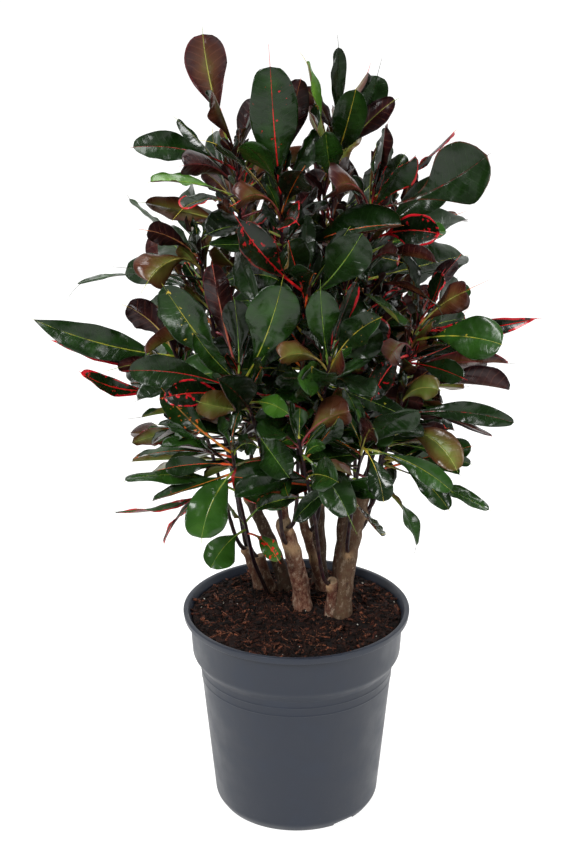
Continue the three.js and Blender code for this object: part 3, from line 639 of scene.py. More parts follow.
def finish_mesh(
    bm: bmesh.types.BMesh, name: str, materials: Sequence[bpy.types.Material]
) -> bpy.types.Object:
    """Turns a mesh in millimetres into a smooth piece at the origin.

    Args:
        bm: The mesh, which is freed.
        name: The piece's name.
        materials: Its materials, in the order of its faces' numbers.

    Returns:
        The piece.
    """
    bmesh.ops.scale(bm, vec=(MM, MM, MM), verts=bm.verts)
    mesh = bpy.data.meshes.new(name)
    for face in bm.faces:
        face.smooth = True
    bm.to_mesh(mesh)
    bm.free()
    for material in materials:
        mesh.materials.append(material)
    return show(name, mesh)


def deliver(piece: bpy.types.Object, node: Optional[str] = None) -> bpy.types.Object:
    """Ties a piece to the plant.

    Args:
        piece: The piece.
        node: The plain node that it replaces, if any.

    Returns:
        The piece.
    """
    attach(piece, "root")
    if node:
        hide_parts(node)
    log.info("%s: %d faces", piece.name, len(piece.data.polygons))
    return piece


class Stamp:
    """A small mesh of which many copies are pressed into a piece, each with its vertices moved."""

    def __init__(self, bm: bmesh.types.BMesh) -> None:
        """Keeps a mesh.

        Args:
            bm: The mesh, which is freed.
        """
        self.mesh = bpy.data.meshes.new("stamp")
        self.places = np.array([vert.co for vert in bm.verts])
        bm.to_mesh(self.mesh)
        bm.free()

    def press(self, bm: bmesh.types.BMesh, points: np.ndarray, **marks: Point) -> list[bmesh.types.BMVert]:
        """Adds a copy to a piece from which nothing has been taken away yet.

        Args:
            bm: The piece's mesh.
            points: Where the copy's vertices go.
            marks: What its attributes hold, one for all vertices or one for each.

        Returns:
            The copy's vertices.
        """
        first = len(bm.verts)
        bm.from_mesh(self.mesh)
        bm.verts.ensure_lookup_table()
        made = bm.verts[first:]
        for vert, point in zip(made, points.tolist()):
            vert.co = point
        layers = bm.verts.layers
        for name, values in marks.items():
            single = name in layers.float
            layer = layers.float[name] if single else layers.float_vector[name]
            shape = (len(made),) if single else (len(made), 3)
            for vert, value in zip(made, np.broadcast_to(values, shape).tolist()):
                vert[layer] = value
        return made


def tube_stamp(sides: int, rows: int) -> Stamp:
    """Makes a closed tube: a grid rolled up, welded along its seam and filled at both ends.

    Args:
        sides: The number of sides.
        rows: The number of rows along it.

    Returns:
        The tube, each of whose vertices is at its turn, 0 and its height, both from 0 to 1.
    """
    bm = bmesh.new()
    bmesh.ops.create_grid(bm, x_segments=sides, y_segments=rows, size=0.5)
    for vert in bm.verts:
        angle = math.tau * (vert.co.x + 0.5)
        vert.co = (math.cos(angle), math.sin(angle), vert.co.y + 0.5)
    bmesh.ops.remove_doubles(bm, verts=bm.verts, dist=1e-4)
    bmesh.ops.holes_fill(bm, edges=[edge for edge in bm.edges if edge.is_boundary], sides=0)
    bmesh.ops.recalc_face_normals(bm, faces=bm.faces)
    for vert in bm.verts:
        vert.co = (math.atan2(vert.co.y, vert.co.x) / math.tau % 1, 0, vert.co.z)
    return Stamp(bm)


def lumps(points: np.ndarray, spacing: float) -> np.ndarray:
    """Gives smooth noise from about -1 to 1 at points in millimetres."""
    return np.array([noise.noise(Vector(point) / spacing) for point in points])


# The pot


@dataclass
class Pot:
    """The nursery pot: a thin turned shell with a deep collar, two ridges and drainage notches."""

    finish: MouldedPolypropylene = MouldedPolypropylene()
    turns: int = 120
    height: float = 226.0
    rim_radius: float = 120.0
    collar_radius: float = 113.0
    collar_step: float = 1.7
    shoulder_radius: float = 103.0
    shoulder_height: float = 167.0
    heel_radius: float = 88.0
    heel_height: float = 9.0
    foot_radius: float = 82.0
    wall: float = 1.7
    floor: float = 2.0
    ridge_heights: tuple[float, float] = (148.0, 158.0)
    ridge_depth: float = 0.6
    notch_count: int = 3
    notch_azimuth: float = -52.0
    notch_width: float = 27.0
    notch_height: float = 5.0
    notch_rounding: float = 1.6

    def body_radius(self, height: float) -> float:
        """Gives the radius of the tapered body at a height."""
        share = (height - self.heel_height) / (self.shoulder_height - self.heel_height)
        return self.heel_radius + (self.shoulder_radius - self.heel_radius) * share

    def outline(self) -> list[tuple[float, float, float]]:
        """Gives the corners of the wall's section, from the foot's middle round to the floor's.

        Returns:
            Radius, height and rounding of each corner.
        """
        top, collar = self.height, self.collar_radius
        ridges = []
        for height in self.ridge_heights:
            ridges += [
                (self.body_radius(height), height, 0.3),
                (self.body_radius(height) + self.ridge_depth, height + 0.8, 0.3),
                (self.body_radius(height + 2.4), height + 2.4, 0.6),
            ]
        outside = [
            (0.0, 0.0, 0.0), (self.foot_radius, 0.0, 1.5), (self.heel_radius, self.heel_height, 3.0), *ridges,
            (self.shoulder_radius, self.shoulder_height, 1.2), (collar - 2.5, self.shoulder_height + 10, 3.0),
            (collar, top - 9, 0.6), (self.rim_radius - 1, top - 7.8, 0.7), (self.rim_radius, top - 0.8, 1.3),
        ]
        inside = [
            (self.rim_radius - 5, top - 0.8, 1.6), (collar - self.wall, top - 8, 1.5),
            (collar - self.collar_step - self.wall, self.shoulder_height + 12, 2.0),
            (self.shoulder_radius - self.wall, self.shoulder_height + 1.5, 1.0),
            (self.heel_radius - self.wall, self.heel_height, 2.0), (self.foot_radius, self.floor, 1.0),
            (0.0, self.floor, 0.0),
        ]
        return outside + inside

    def rounded(self) -> list[tuple[float, float]]:
        """Rounds each corner of the section by a short curve.

        Returns:
            Radius and height of each of its points.
        """
        corners = [Vector(corner[:2]) for corner in self.outline()]
        points = []
        for i, (radius, height, rounding) in enumerate(self.outline()):
            if rounding == 0:
                points.append((radius, height))
                continue
            here = corners[i]
            before, after = corners[i - 1] - here, corners[i + 1] - here
            start = here + before.normalized() * min(rounding, before.length * 0.45)
            end = here + after.normalized() * min(rounding, after.length * 0.45)
            for t in (0.0, 0.33, 0.67, 1.0):
                point = start * (1 - t) ** 2 + here * 2 * t * (1 - t) + end * t ** 2
                points.append((point.x, point.y))
        return points

    def shell(self) -> bmesh.types.BMesh:
        """Turns the section into the pot's closed shell.

        Returns:
            The shell.
        """
        bm = bmesh.new()
        ring = [bm.verts.new((radius, 0, height)) for radius, height in self.rounded()]
        edges = [bm.edges.new(pair) for pair in zip(ring, ring[1:])]
        bmesh.ops.spin(
            bm, geom=ring + edges, cent=(0, 0, 0), axis=(0, 0, 1), angle=math.tau, steps=self.turns,
            use_merge=True)
        bmesh.ops.remove_doubles(bm, verts=bm.verts, dist=1e-3)
        bmesh.ops.recalc_face_normals(bm, faces=bm.faces)
        return bm

    def cutters(self) -> bmesh.types.BMesh:
        """Makes the round-cornered blocks that cut the drainage notches.

        Returns:
            The blocks, in one mesh.
        """
        bm = bmesh.new()
        for i in range(self.notch_count):
            turn = Matrix.Rotation(math.radians(self.notch_azimuth + 360 * i / self.notch_count), 4, "Z")
            place = Matrix.Translation((self.heel_radius, 0, 0))
            size = Matrix.Diagonal((self.heel_radius / 5, self.notch_width, self.notch_height * 2, 1))
            cube = bmesh.ops.create_cube(bm, size=1, matrix=turn @ place @ size)
            edges = {edge for vert in cube["verts"] for edge in vert.link_edges}
            along = turn @ Vector((1, 0, 0))
            corners = [e for e in edges if abs((e.verts[0].co - e.verts[1].co).normalized().dot(along)) > 0.9]
            bmesh.ops.bevel(
                bm, geom=corners, offset=self.notch_rounding, segments=3, affect="EDGES", profile=0.5,
                material=-1)
        return bm

    def build(self) -> bpy.types.Object:
        """Makes the pot.

        Returns:
            The piece.
        """
        pot = finish_mesh(self.shell(), "nursery_pot", [self.finish.make()])
        blocks = finish_mesh(self.cutters(), "notch_blocks", [])
        cut = pot.modifiers.new("notches", "BOOLEAN")
        cut.operation, cut.solver, cut.object = "DIFFERENCE", "EXACT", blocks
        mesh = bpy.data.meshes.new_from_object(pot.evaluated_get(bpy.context.evaluated_depsgraph_get()))
        pot.modifiers.clear()
        pot.data = mesh
        bpy.data.objects.remove(blocks)
        mesh.shade_smooth()
        return deliver(pot, "pot")


# The soil


@dataclass
class Soil:
    """The peat that fills the pot, with what is mixed into it lying on top."""

    pot: Pot
    edge_height: float = 218.5
    heap: float = 5.0
    gap: float = 0.4
    rings: int = 46
    sides: int = 150
    roughness: tuple[tuple[float, float], ...] = ((26, 3.0), (10, 3.4), (4, 1.5))
    crumbs: int = 1700
    chips: int = 520
    fibres: int = 340
    specks: int = 34
    crumb_sizes: tuple[Point, Point] = ((1.4, 1.3, 1.0), (8.5, 6.5, 5.0))
    chip_sizes: tuple[Point, Point] = ((3.5, 1.0, 0.6), (19.0, 4.2, 2.0))
    fibre_sizes: tuple[Point, Point] = ((8, 0.25, 0.6), (32, 0.6, 3.0))
    speck_sizes: tuple[Point, Point] = ((1.2, 1.2, 1.0), (3.0, 2.8, 2.4))
    tilt: float = 0.3
    chipping: float = 0.11
    seed: int = 12

    def top(self, x: np.ndarray, y: np.ndarray) -> np.ndarray:
        """Works out the rough surface.

        Args:
            x: Places across.
            y: Places in depth.

        Returns:
            The heights there.
        """
        share = np.minimum(np.hypot(x, y) / (self.pot.collar_radius - self.pot.wall), 1)
        spots = np.stack([x, y, np.full_like(x, 7)], -1)
        rough = sum(lumps(spots, spacing) * height for spacing, height in self.roughness)
        return self.edge_height + self.heap * (1 - share ** 2) + rough * np.minimum(1, 3 * (1 - share) + 0.25)

    def bed(self) -> bmesh.types.BMesh:
        """Makes the peat: a rough top, and sides that follow the pot's inside down to its floor.

        Returns:
            Its mesh.
        """
        pot = self.pot
        wall = np.array([
            (pot.foot_radius, pot.floor),
            (pot.heel_radius - pot.wall, pot.heel_height),
            (pot.shoulder_radius - pot.wall, pot.shoulder_height + 1),
            (pot.collar_radius - pot.collar_step - pot.wall, pot.shoulder_height + 12),
            (pot.collar_radius - pot.wall, self.edge_height - 1.5),
        ])
        levels = len(wall) + self.rings
        tube = tube_stamp(self.sides, levels)
        row = np.rint(tube.places[:, 2] * levels).astype(int)
        share = np.clip(1 - (row - len(wall) + 1) / (self.rings + 2), 0, 1)
        low = row < len(wall)
        level = np.minimum(row, len(wall) - 1)
        radius = np.where(low, wall[level, 0], (pot.collar_radius - pot.wall) * share ** 0.8) - self.gap
        angle = math.tau * tube.places[:, 0]
        x, y = radius * np.cos(angle), radius * np.sin(angle)
        bm = bmesh.new()
        tube.press(bm, np.stack([x, y, np.where(low, wall[level, 1] + self.gap, self.top(x, y))], -1))
        return bm

    def scatter(self, count: int, draw: np.random.Generator, reach: float = 0.97) -> np.ndarray:
        """Draws places on the surface, evenly spread.

        Args:
            count: How many.
            draw: The random numbers.
            reach: How near the wall they come, as a share of its radius.

        Returns:
            The places.
        """
        radius = (self.pot.collar_radius - self.pot.wall) * reach * np.sqrt(draw.random(count))
        angle = math.tau * draw.random(count)
        x, y = radius * np.cos(angle), radius * np.sin(angle)
        return np.stack([x, y, self.top(x, y)], -1)

    def bits(
        self, count: int, sizes: tuple[Point, Point], draw: np.random.Generator, stamp: Stamp
    ) -> bmesh.types.BMesh:
        """Makes small loose bits that lie in the surface.

        Args:
            count: How many.
            sizes: The smallest and the largest length, width and thickness.
            draw: The random numbers.
            stamp: The bit's shape, 1 mm across.

        Returns:
            Their mesh, with each bit's shade in the attribute "lot".
        """
        bm = bmesh.new()
        bm.verts.layers.float.new("lot")
        for place in self.scatter(count, draw):
            size = draw.uniform(*np.array(sizes))
            lean = [Matrix.Rotation(draw.normal(0, self.tilt), 3, axis) for axis in "XY"]
            turn = np.array(Matrix.Rotation(draw.uniform(0, math.tau), 3, "Z") @ (lean[0] @ lean[1]))
            rough = draw.normal(0, self.chipping, stamp.places.shape) * size.min()
            points = place + (stamp.places * size + rough) @ turn.T + (0, 0, size[2] * 0.15)
            stamp.press(bm, points, lot=draw.random())
        return bm

    def strands(self, draw: np.random.Generator) -> bmesh.types.BMesh:
        """Makes the thin bark fibres and root hairs that lie across the surface.

        Args:
            draw: The random numbers.

        Returns:
            Their mesh, with each one's shade in the attribute "lot".
        """
        bm = bmesh.new()
        bm.verts.layers.float.new("lot")
        tube = tube_stamp(4, 6)
        turn, height = math.tau * tube.places[:, 0], tube.places[:, 2]
        for place in self.scatter(self.fibres, draw, 0.88):
            length, thick, lift = draw.uniform(*np.array(self.fibre_sizes))
            angle = draw.uniform(0, math.tau) + draw.normal(0, 1.2) * height
            along = length * (height - 0.5)
            x, y = place[0] + along * np.cos(angle), place[1] + along * np.sin(angle)
            z = self.top(x, y) + lift * np.sin(np.pi * height) + thick * np.sin(turn)
            side = thick * np.cos(turn)
            points = np.stack([x + side * np.sin(angle), y - side * np.cos(angle), z], -1)
            tube.press(bm, points, lot=draw.random())
        return bm

    def bit_stamps(self) -> tuple[Stamp, Stamp]:
        """Makes the shapes of a crumb and of a splinter, 1 mm across.

        Returns:
            The two shapes.
        """
        crumb, splinter = bmesh.new(), bmesh.new()
        bmesh.ops.create_icosphere(crumb, subdivisions=1, radius=0.5)
        bmesh.ops.create_cube(splinter, size=1)
        return Stamp(crumb), Stamp(splinter)

    def build(self) -> list[bpy.types.Object]:
        """Makes the peat and its litter.

        Returns:
            The pieces.
        """
        draw = np.random.default_rng(self.seed)
        crumb, splinter = self.bit_stamps()
        pieces = [deliver(finish_mesh(self.bed(), "peat", [Peat().make()]), "soil")]
        litter = (
            (PEAT_CRUMBS, self.bits(self.crumbs, self.crumb_sizes, draw, crumb)),
            (BARK_CHIPS, self.bits(self.chips, self.chip_sizes, draw, splinter)),
            (BARK_FIBRES, self.strands(draw)),
            (PERLITE, self.bits(self.specks, self.speck_sizes, draw, crumb)),
        )
        for finish, bm in litter:
            pieces.append(deliver(finish_mesh(bm, finish.name, [finish.make()])))
        return pieces


# Trunks and stems


class Curve:
    """A smooth line through points, as the part draws it: a centripetal Catmull-Rom spline."""

    def __init__(self, points: Sequence[Point]) -> None:
        """Works out the line.

        Args:
            points: The points that it goes through, in millimetres.
        """
        given = np.array([tuple(point) for point in points], float)
        held = np.vstack([2 * given[0] - given[1], given, 2 * given[-1] - given[-2]])
        before, start, end, after = held[:-3], held[1:-2], held[2:-1], held[3:]
        pairs = ((before, start), (start, end), (end, after))
        d0, d1, d2 = [np.sqrt(np.linalg.norm(b - a, axis=1))[:, None] for a, b in pairs]
        leave = ((start - before) / d0 - (end - before) / (d0 + d1) + (end - start) / d1) * d1
        arrive = ((end - start) / d1 - (after - start) / (d1 + d2) + (after - end) / d2) * d1
        square, cube = 3 * (end - start) - 2 * leave - arrive, 2 * (start - end) + leave + arrive
        self.terms = np.stack([start, leave, square, cube])
        self.stretches = len(start)
        level = np.cross(self.at(1) - self.at(0), (0, 1, 0))
        self.level = level / np.linalg.norm(level)

    def at(self, t: np.ndarray) -> np.ndarray:
        """Gives points of the line.

        Args:
            t: Shares of the way, from 0 to 1, each stretch between two points counting alike.

        Returns:
            The points.
        """
        place = np.asarray(t, float) * self.stretches
        stretch = np.minimum(place.astype(int), self.stretches - 1)
        weight = (place - stretch)[..., None]
        start, first, second, third = self.terms[:, stretch]
        return start + weight * (first + weight * (second + weight * third))

    def along(self, t: np.ndarray) -> np.ndarray:
        """Gives the directions at shares of the way."""
        step = self.at(np.minimum(np.asarray(t) + 1e-4, 1)) - self.at(np.maximum(np.asarray(t) - 1e-4, 0))
        return step / np.linalg.norm(step, axis=-1, keepdims=True)

    @lru_cache(maxsize=None)
    def at_height(self, height: float) -> tuple[float, np.ndarray]:
        """Finds where a rising line reaches a height.

        Args:
            height: The height.

        Returns:
            The share of the way there, and the point.
        """
        low, high = 0.0, 1.0
        for _ in range(24):
            middle = (low + high) / 2
            if self.at(middle)[2] < height:
                low = middle
            else:
                high = middle
        return low, self.at(low)

    def rings(self, t: np.ndarray, turn: np.ndarray) -> tuple[np.ndarray, np.ndarray]:
        """Gives points of the line, and from each the way square to it at a turn.

        Args:
            t: Shares of the way.
            turn: Turns about the line, from 0 to 1.

        Returns:
            The points and the ways.
        """
        along = self.along(t)
        across = self.level - along * (along @ self.level)[:, None]
        across /= np.linalg.norm(across, axis=1, keepdims=True)
        angle = math.tau * turn[:, None]
        return self.at(t), across * np.sin(angle) + np.cross(across, along) * np.cos(angle)


TRUNK_FOOT = 165.0
TRUNK_STEPS = 4


@dataclass(frozen=True)
class Trunk:
    """One woody trunk, fork or stub: where it goes, how thick it is and how its top is cut."""

    path: tuple[Point, ...]
    radii: tuple[float, float]
    cut: float
    foot: float = TRUNK_FOOT
    joins: Optional[str] = None
    pink: float = 0.3
    age: float = 0.3
    pale_at: Optional[float] = None

    def curve(self) -> Curve:
        """Gives the trunk's line."""
        return Curve([(*self.path[0][:2], self.foot), *self.path])


TRUNKS = {
    "trunk_left_back": Trunk(
        ((-11, 43, 222), (-20, 48, 255), (-37, 47, 300), (-57, 45, 351)), (8, 6.5), 15, pink=0.2, age=0.75),
    "trunk_front_left": Trunk(
        ((7, 3, 222), (2, 0, 262), (-4, -2, 290), (-15, -5, 328)), (9.5, 8.5), 30,
        pink=0.9, age=0.1, pale_at=296),
    "fork_knobbed": Trunk(
        ((-5, -1, 292), (-14, 8, 332), (-21, 16, 375)), (6, 5.5), 25, 278, "trunk_front_left",
        pink=0.9, age=0.2),
    "trunk_slim": Trunk(
        ((28, 40, 222), (17, 33, 270), (3, 24, 330)), (5.6, 5), 10, pink=0.7, age=0.1, pale_at=268),
    "trunk_middle_back": Trunk(
        ((26, 60, 222), (23, 57, 280), (22, 54, 332)), (8.6, 7.8), 20, pink=0.2, age=0.7),
    "trunk_right_back": Trunk(
        ((43, 46, 222), (47, 48, 270), (52, 50, 326)), (6.2, 5.5), 10, pink=0.4, age=0.6),
    "trunk_right": Trunk(
        ((48, -12, 222), (55, -6, 290), (68, -10, 366)), (9.5, 9.8), 20, pink=0.25, age=0.15),
    "stub_front": Trunk(
        ((35, -13, 222), (37, -14, 242), (38, -14, 264)), (6.8, 5.6), 20, joins="trunk_right",
        pink=1, age=0.4),
    "trunk_left_low": Trunk(
        ((-40, 50, 222), (-48, 57, 246), (-54, 62, 266)), (5.4, 4.8), 10, pink=0.6, age=0.3),
    "trunk_left_inner": Trunk(
        ((-27, 41, 222), (-34, 44, 244), (-40, 46, 264)), (5.6, 4.8), 10, pink=0.6, age=0.3),
}

STEM_STEPS = 7
STEM_RADII = (2.6, 1.7)
STEM_ROOT = 0.35
STEM_RUN = 5.5
STEM_LIFT = 11.0
STEM_TURN = 0.42
STEM_BOW = 0.05
ROUTE_FOOT = 185.0


@dataclass(frozen=True)
class Shoot:
    """One leafy shoot: where it grows from, its heart and how many leaves it grows by rule."""

    trunk: Optional[str]
    at: float
    side: float
    heart: Point
    leaves: int
    route: tuple[Point, ...] = ()

    def outward(self) -> np.ndarray:
        """Gives the level direction in which the stem leaves its trunk."""
        return np.array([math.cos(math.radians(self.side)), math.sin(math.radians(self.side)), 0.0])

    def socket(self) -> tuple[np.ndarray, float]:
        """Finds where on its trunk the stem grows from.

        Returns:
            The point on the trunk's line, and the trunk's radius there.
        """
        trunk = TRUNKS[self.trunk]
        low, high = trunk.path[0][2], trunk.path[-1][2]
        t, point = trunk.curve().at_height(low + (high - low) * self.at)
        return point, trunk.radii[0] + (trunk.radii[1] - trunk.radii[0]) * t

    def curve(self) -> Curve:
        """Draws the stem.

        Returns:
            Its line, from inside its trunk or the soil to its heart.
        """
        heart = np.array(self.heart, float)
        if self.route:
            return Curve([(*self.route[0][:2], ROUTE_FOOT), *self.route, heart])
        point, radius = self.socket()
        start = point + self.outward() * radius * STEM_ROOT
        out = point + self.outward() * (radius + STEM_RUN) + np.array([0, 0, STEM_LIFT])
        rise = out + (heart - out) * STEM_TURN + np.array([0, 0, STEM_BOW * (heart[2] - out[2])])
        return Curve([start, out, rise, heart])


SHOOTS = {
    "shoot_crown_left": Shoot("trunk_left_back", 0.95, -60, (-58, 5, 708), 14),
    "shoot_crown_front": Shoot("fork_knobbed", 0.93, -50, (-15, -30, 690), 14),
    "shoot_crown_right": Shoot("trunk_right", 0.94, 110, (72, -25, 676), 14),
    "shoot_crown_middle": Shoot("trunk_middle_back", 0.93, -60, (38, 8, 716), 14),
    "shoot_left_high": Shoot("trunk_left_back", 0.84, -130, (-98, -8, 622), 13),
    "shoot_front_high": Shoot("trunk_front_left", 0.9, -50, (10, -72, 602), 13),
    "shoot_front_middle": Shoot("trunk_slim", 0.88, -50, (32, -98, 536), 12),
    "shoot_right_mid": Shoot("trunk_right", 0.6, 30, (122, -28, 558), 11),
    "shoot_front_left": Shoot("fork_knobbed", 0.78, -170, (-56, -86, 514), 10),
    "shoot_left_mid": Shoot("trunk_left_low", 0.9, -160, (-128, -14, 532), 9),
    "shoot_low_left": Shoot(
        None, 0, 0, (-64, -72, 438), 4, ((-31, 30, 222), (-45, 24, 265), (-52, 4, 312), (-60, -34, 375))),
    "shoot_right_low": Shoot("trunk_right", 0.78, -10, (104, -52, 474), 6),
    "shoot_front_right": Shoot("trunk_right", 0.48, -100, (66, -92, 456), 8),
    "shoot_front_low": Shoot("stub_front", 0.8, -140, (2, -112, 458), 5),
    "shoot_inner_left": Shoot("trunk_front_left", 0.72, -120, (-32, -30, 580), 10),
    "shoot_inner_right": Shoot("trunk_slim", 0.7, -30, (50, -38, 596), 10),
    "shoot_back_left": Shoot("trunk_left_inner", 0.85, 170, (-112, 72, 540), 14),
    "shoot_back_left_low": Shoot("trunk_left_low", 0.55, 120, (-96, 104, 462), 10),
    "shoot_back_middle": Shoot("trunk_middle_back", 0.7, 130, (-28, 122, 520), 13),
    "shoot_back_right": Shoot("trunk_right_back", 0.82, 80, (80, 128, 520), 16),
    "shoot_right_back": Shoot("trunk_right_back", 0.93, 0, (138, 52, 500), 14),
    "shoot_right_high": Shoot("trunk_right", 0.82, 60, (100, 56, 622), 16),
    "shoot_back_left_high": Shoot("fork_knobbed", 0.75, 100, (-58, 92, 640), 16),
    "shoot_back_high": Shoot("trunk_middle_back", 0.86, 50, (28, 78, 668), 13),
    "shoot_back_low": Shoot("trunk_right_back", 0.6, 80, (24, 138, 430), 10),
}


# How leaves grow, as the part has it

FRONT = (0.1, -1, 0.35)
BACK = (0, 1, -0.3)
UP = (0, -0.25, 1)
LEFT = (-1, -0.3, 0.2)
RIGHT = (1, -0.3, 0.2)

STALK_END = 0.16
STALK_HALF_WIDTH = 1.3
STALK_THICKNESS = 2.4
BREAK_SPAN = (0.42, 0.62)
FACE_STATION = 0.6
SPINE_STEPS = 12
WAVE_OFFSET = 0.35
SHARP_TWIST = 120.0
TWIST_SPAN = (0.22, 0.58)


class Blade(Enum):
    """The outlines that leaves have: where a blade is widest, how full it is, and how full its base and
    its tip are on the fine leaf."""

    SPOON = (1.75, 0.72, 1.1, 0.42)
    SPATULA = (2.5, 0.6, 1.05, 0.42)
    OBLONG = (1.35, 0.45, 0.62, 0.32)
    LANCE = (0.9, 0.85, 0.9, 0.95)
    STRAP = (1.2, 0.6, 0.82, 0.42)
    BROKEN = (1.0, 0.7, 0.85, 0.6)


def mix(low: float, high: float, share: float) -> float:
    """Gives the value at a share of the way between two."""
    return (1 - share) * low + share * high


def clamp(value: float) -> float:
    """Holds a value between 0 and 1."""
    return min(max(value, 0), 1)


class Draws:
    """Seeded random numbers, the same as the part's."""

    MASK = 0xFFFFFFFF

    def __init__(self, seed: int) -> None:
        """Starts a row of numbers."""
        self.state = seed & self.MASK

    def __call__(self) -> float:
        """Draws the next number.

        Returns:
            The number, from 0 to 1.
        """
        self.state = (self.state + 0x6D2B79F5) & self.MASK
        mixed = self.state
        mixed = ((mixed ^ (mixed >> 15)) * (mixed | 1)) & self.MASK
        mixed ^= (mixed + (mixed ^ (mixed >> 7)) * (mixed | 61)) & self.MASK
        return (mixed ^ (mixed >> 14)) / 4294967296

    def either(self) -> float:
        """Gives a number from -1 to 1."""
        return 2 * self() - 1


@dataclass(frozen=True)
class Paint:
    """A leaf's colours, each from 0 to 1.

    rib goes from yellow-green through orange to crimson, margin and spots are strengths, pale goes from
    near-black green to bright green, and olive is the underside's, from maroon.
    """

    rib: float
    margin: float
    spots: float
    pale: float
    olive: float


@dataclass(frozen=True)
class Leaf:
    """A leaf's form: its outline, how its line bends and how its blade turns, folds and waves."""

    root: tuple[float, float, float]
    width: float
    bend: float = 0.0
    turn: float = 0.0
    twist: float = 0.0
    fold: float = 18.0
    cup: float = 0.0
    wave: float = 2.0
    waves: float = 2.2
    phase: float = 0.0
    kind: Blade = Blade.SPOON
    length: float = 0.0
    azimuth: float = 0.0
    rise: float = 0.0
    roll: float = 0.0
    paint: Optional[Paint] = None

    def heading(self, s: np.ndarray) -> np.ndarray:
        """Gives the line's direction at shares of the way from root to tip."""
        azimuth, rise = np.radians(self.azimuth + self.turn * s), np.radians(self.rise + self.bend * s)
        return np.stack([np.cos(rise) * np.cos(azimuth), np.cos(rise) * np.sin(azimuth), np.sin(rise)], -1)

    def frames(self, s: np.ndarray) -> tuple[np.ndarray, np.ndarray, np.ndarray]:
        """Follows the line and the turns of the blade about it.

        Args:
            s: Shares of the way from root to tip.

        Returns:
            Points of the line, and the directions across and square to the blade there.
        """
        middles = s[:, None] * (np.arange(SPINE_STEPS) + 0.5) / SPINE_STEPS
        step = (self.length * s / SPINE_STEPS)[:, None]
        point = np.array(self.root) + self.heading(middles).sum(1) * step
        along = self.heading(s)
        azimuth = np.radians(self.azimuth + self.turn * s)
        side = np.stack([-np.sin(azimuth), np.cos(azimuth), np.zeros_like(s)], -1)
        twisted = self.twist * (self.twist_share(s) - self.twist_share(FACE_STATION))
        roll = np.radians(self.roll + twisted)[:, None]
        across = side * np.cos(roll) + np.cross(along, side) * np.sin(roll)
        return point, across, np.cross(along, across)

    def twist_share(self, s: np.ndarray) -> np.ndarray:
        """Spreads the twist along the blade. A sharp twist is made in one short span.

        Args:
            s: Shares of the way from root to tip.

        Returns:
            The share of its twist that the blade has made there.
        """
        if abs(self.twist) <= SHARP_TWIST:
            return s
        share = np.clip((s - TWIST_SPAN[0]) / (TWIST_SPAN[1] - TWIST_SPAN[0]), 0, 1)
        return share * share * (3 - 2 * share)

    def half_width(self, s: np.ndarray) -> np.ndarray:
        """Works out the blade's outline.

        Args:
            s: Shares of the way from root to tip.

        Returns:
            Half the blade's width there.
        """
        peak, fullness, _, _ = self.kind.value
        share = np.clip((s - STALK_END) / (1 - STALK_END), 0, 1)
        blade = self.width / 2 * np.sin(np.pi * share ** peak) ** fullness
        half = np.maximum(STALK_HALF_WIDTH * (1 - share), blade)
        if self.kind is Blade.BROKEN:
            half = np.where((s > BREAK_SPAN[0]) & (s < BREAK_SPAN[1]), STALK_HALF_WIDTH, half)
        return half

    def points(self, u: np.ndarray, s: np.ndarray) -> np.ndarray:
        """Gives points of the blade, at places from -1 to 1 across it and shares of the way along it."""
        return self.surface(u, s, self.half_width(s), np.zeros_like(u), np.zeros_like(u))

    def surface(
        self, u: np.ndarray, s: np.ndarray, half: np.ndarray, lift: np.ndarray, pull: np.ndarray
    ) -> np.ndarray:
        """Gives points of the blade, with its thickness and the curl of its rim.

        Args:
            u: Places across it, from -1 to 1.
            s: Shares of the way from root to tip, one for each place.
            half: Half the blade's width there.
            lift: Heights above the blade's middle surface.
            pull: How far the places are drawn in towards the midrib.

        Returns:
            The points.
        """
        point, across, normal = self.frames(s)
        reach, way = np.abs(u), np.sign(u)
        angle = np.radians(self.fold + self.cup * reach / 2)
        beat = self.waves * s + self.phase + np.where(u > 0, WAVE_OFFSET, 0)
        ripple = self.wave * u * u * np.sin(2 * np.pi * beat) * np.minimum(1, 2 * half / self.width)
        out = way * ((reach * half - pull) * np.cos(angle) - lift * np.sin(angle))
        up = (reach * half - pull) * np.sin(angle) + ripple + lift * np.cos(angle)
        return point + across * out[:, None] + normal * up[:, None]

    def aimed(self, tip: np.ndarray, face: Point) -> "Leaf":
        """Aims the leaf.

        Args:
            tip: Where its tip goes.
            face: The way that its upper side faces.

        Returns:
            The aimed leaf.
        """
        chord = tip - np.array(self.root)
        span = math.sqrt(chord.dot(chord))
        half_bend = math.radians(self.bend) / 2
        slack = 1 if abs(half_bend) < 1e-6 else half_bend / math.sin(half_bend)
        leaf = replace(
            self,
            length=span * slack,
            azimuth=math.degrees(math.atan2(chord[1], chord[0])) - self.turn / 2,
            rise=math.degrees(math.asin(chord[2] / span)) - self.bend / 2,
        )
        _, across, normal = leaf.frames(np.array([FACE_STATION]))
        return replace(leaf, roll=math.degrees(math.atan2(-np.dot(face, across[0]), np.dot(face, normal[0]))))


@dataclass(frozen=True)
class SetLeaf:
    """A leaf with a place of its own: the height it grows from, its tip, its width and how it faces."""

    z: float
    tip: Point
    width: float
    face: Point
    bend: float = 0.0
    twist: float = 0.0
    fold: float = 18.0
    cup: float = 0.0
    wave: float = 2.0
    kind: Blade = Blade.SPOON
    rib: Optional[float] = None
    margin: Optional[float] = None
    spots: Optional[float] = None
    pale: Optional[float] = None
    olive: Optional[float] = None


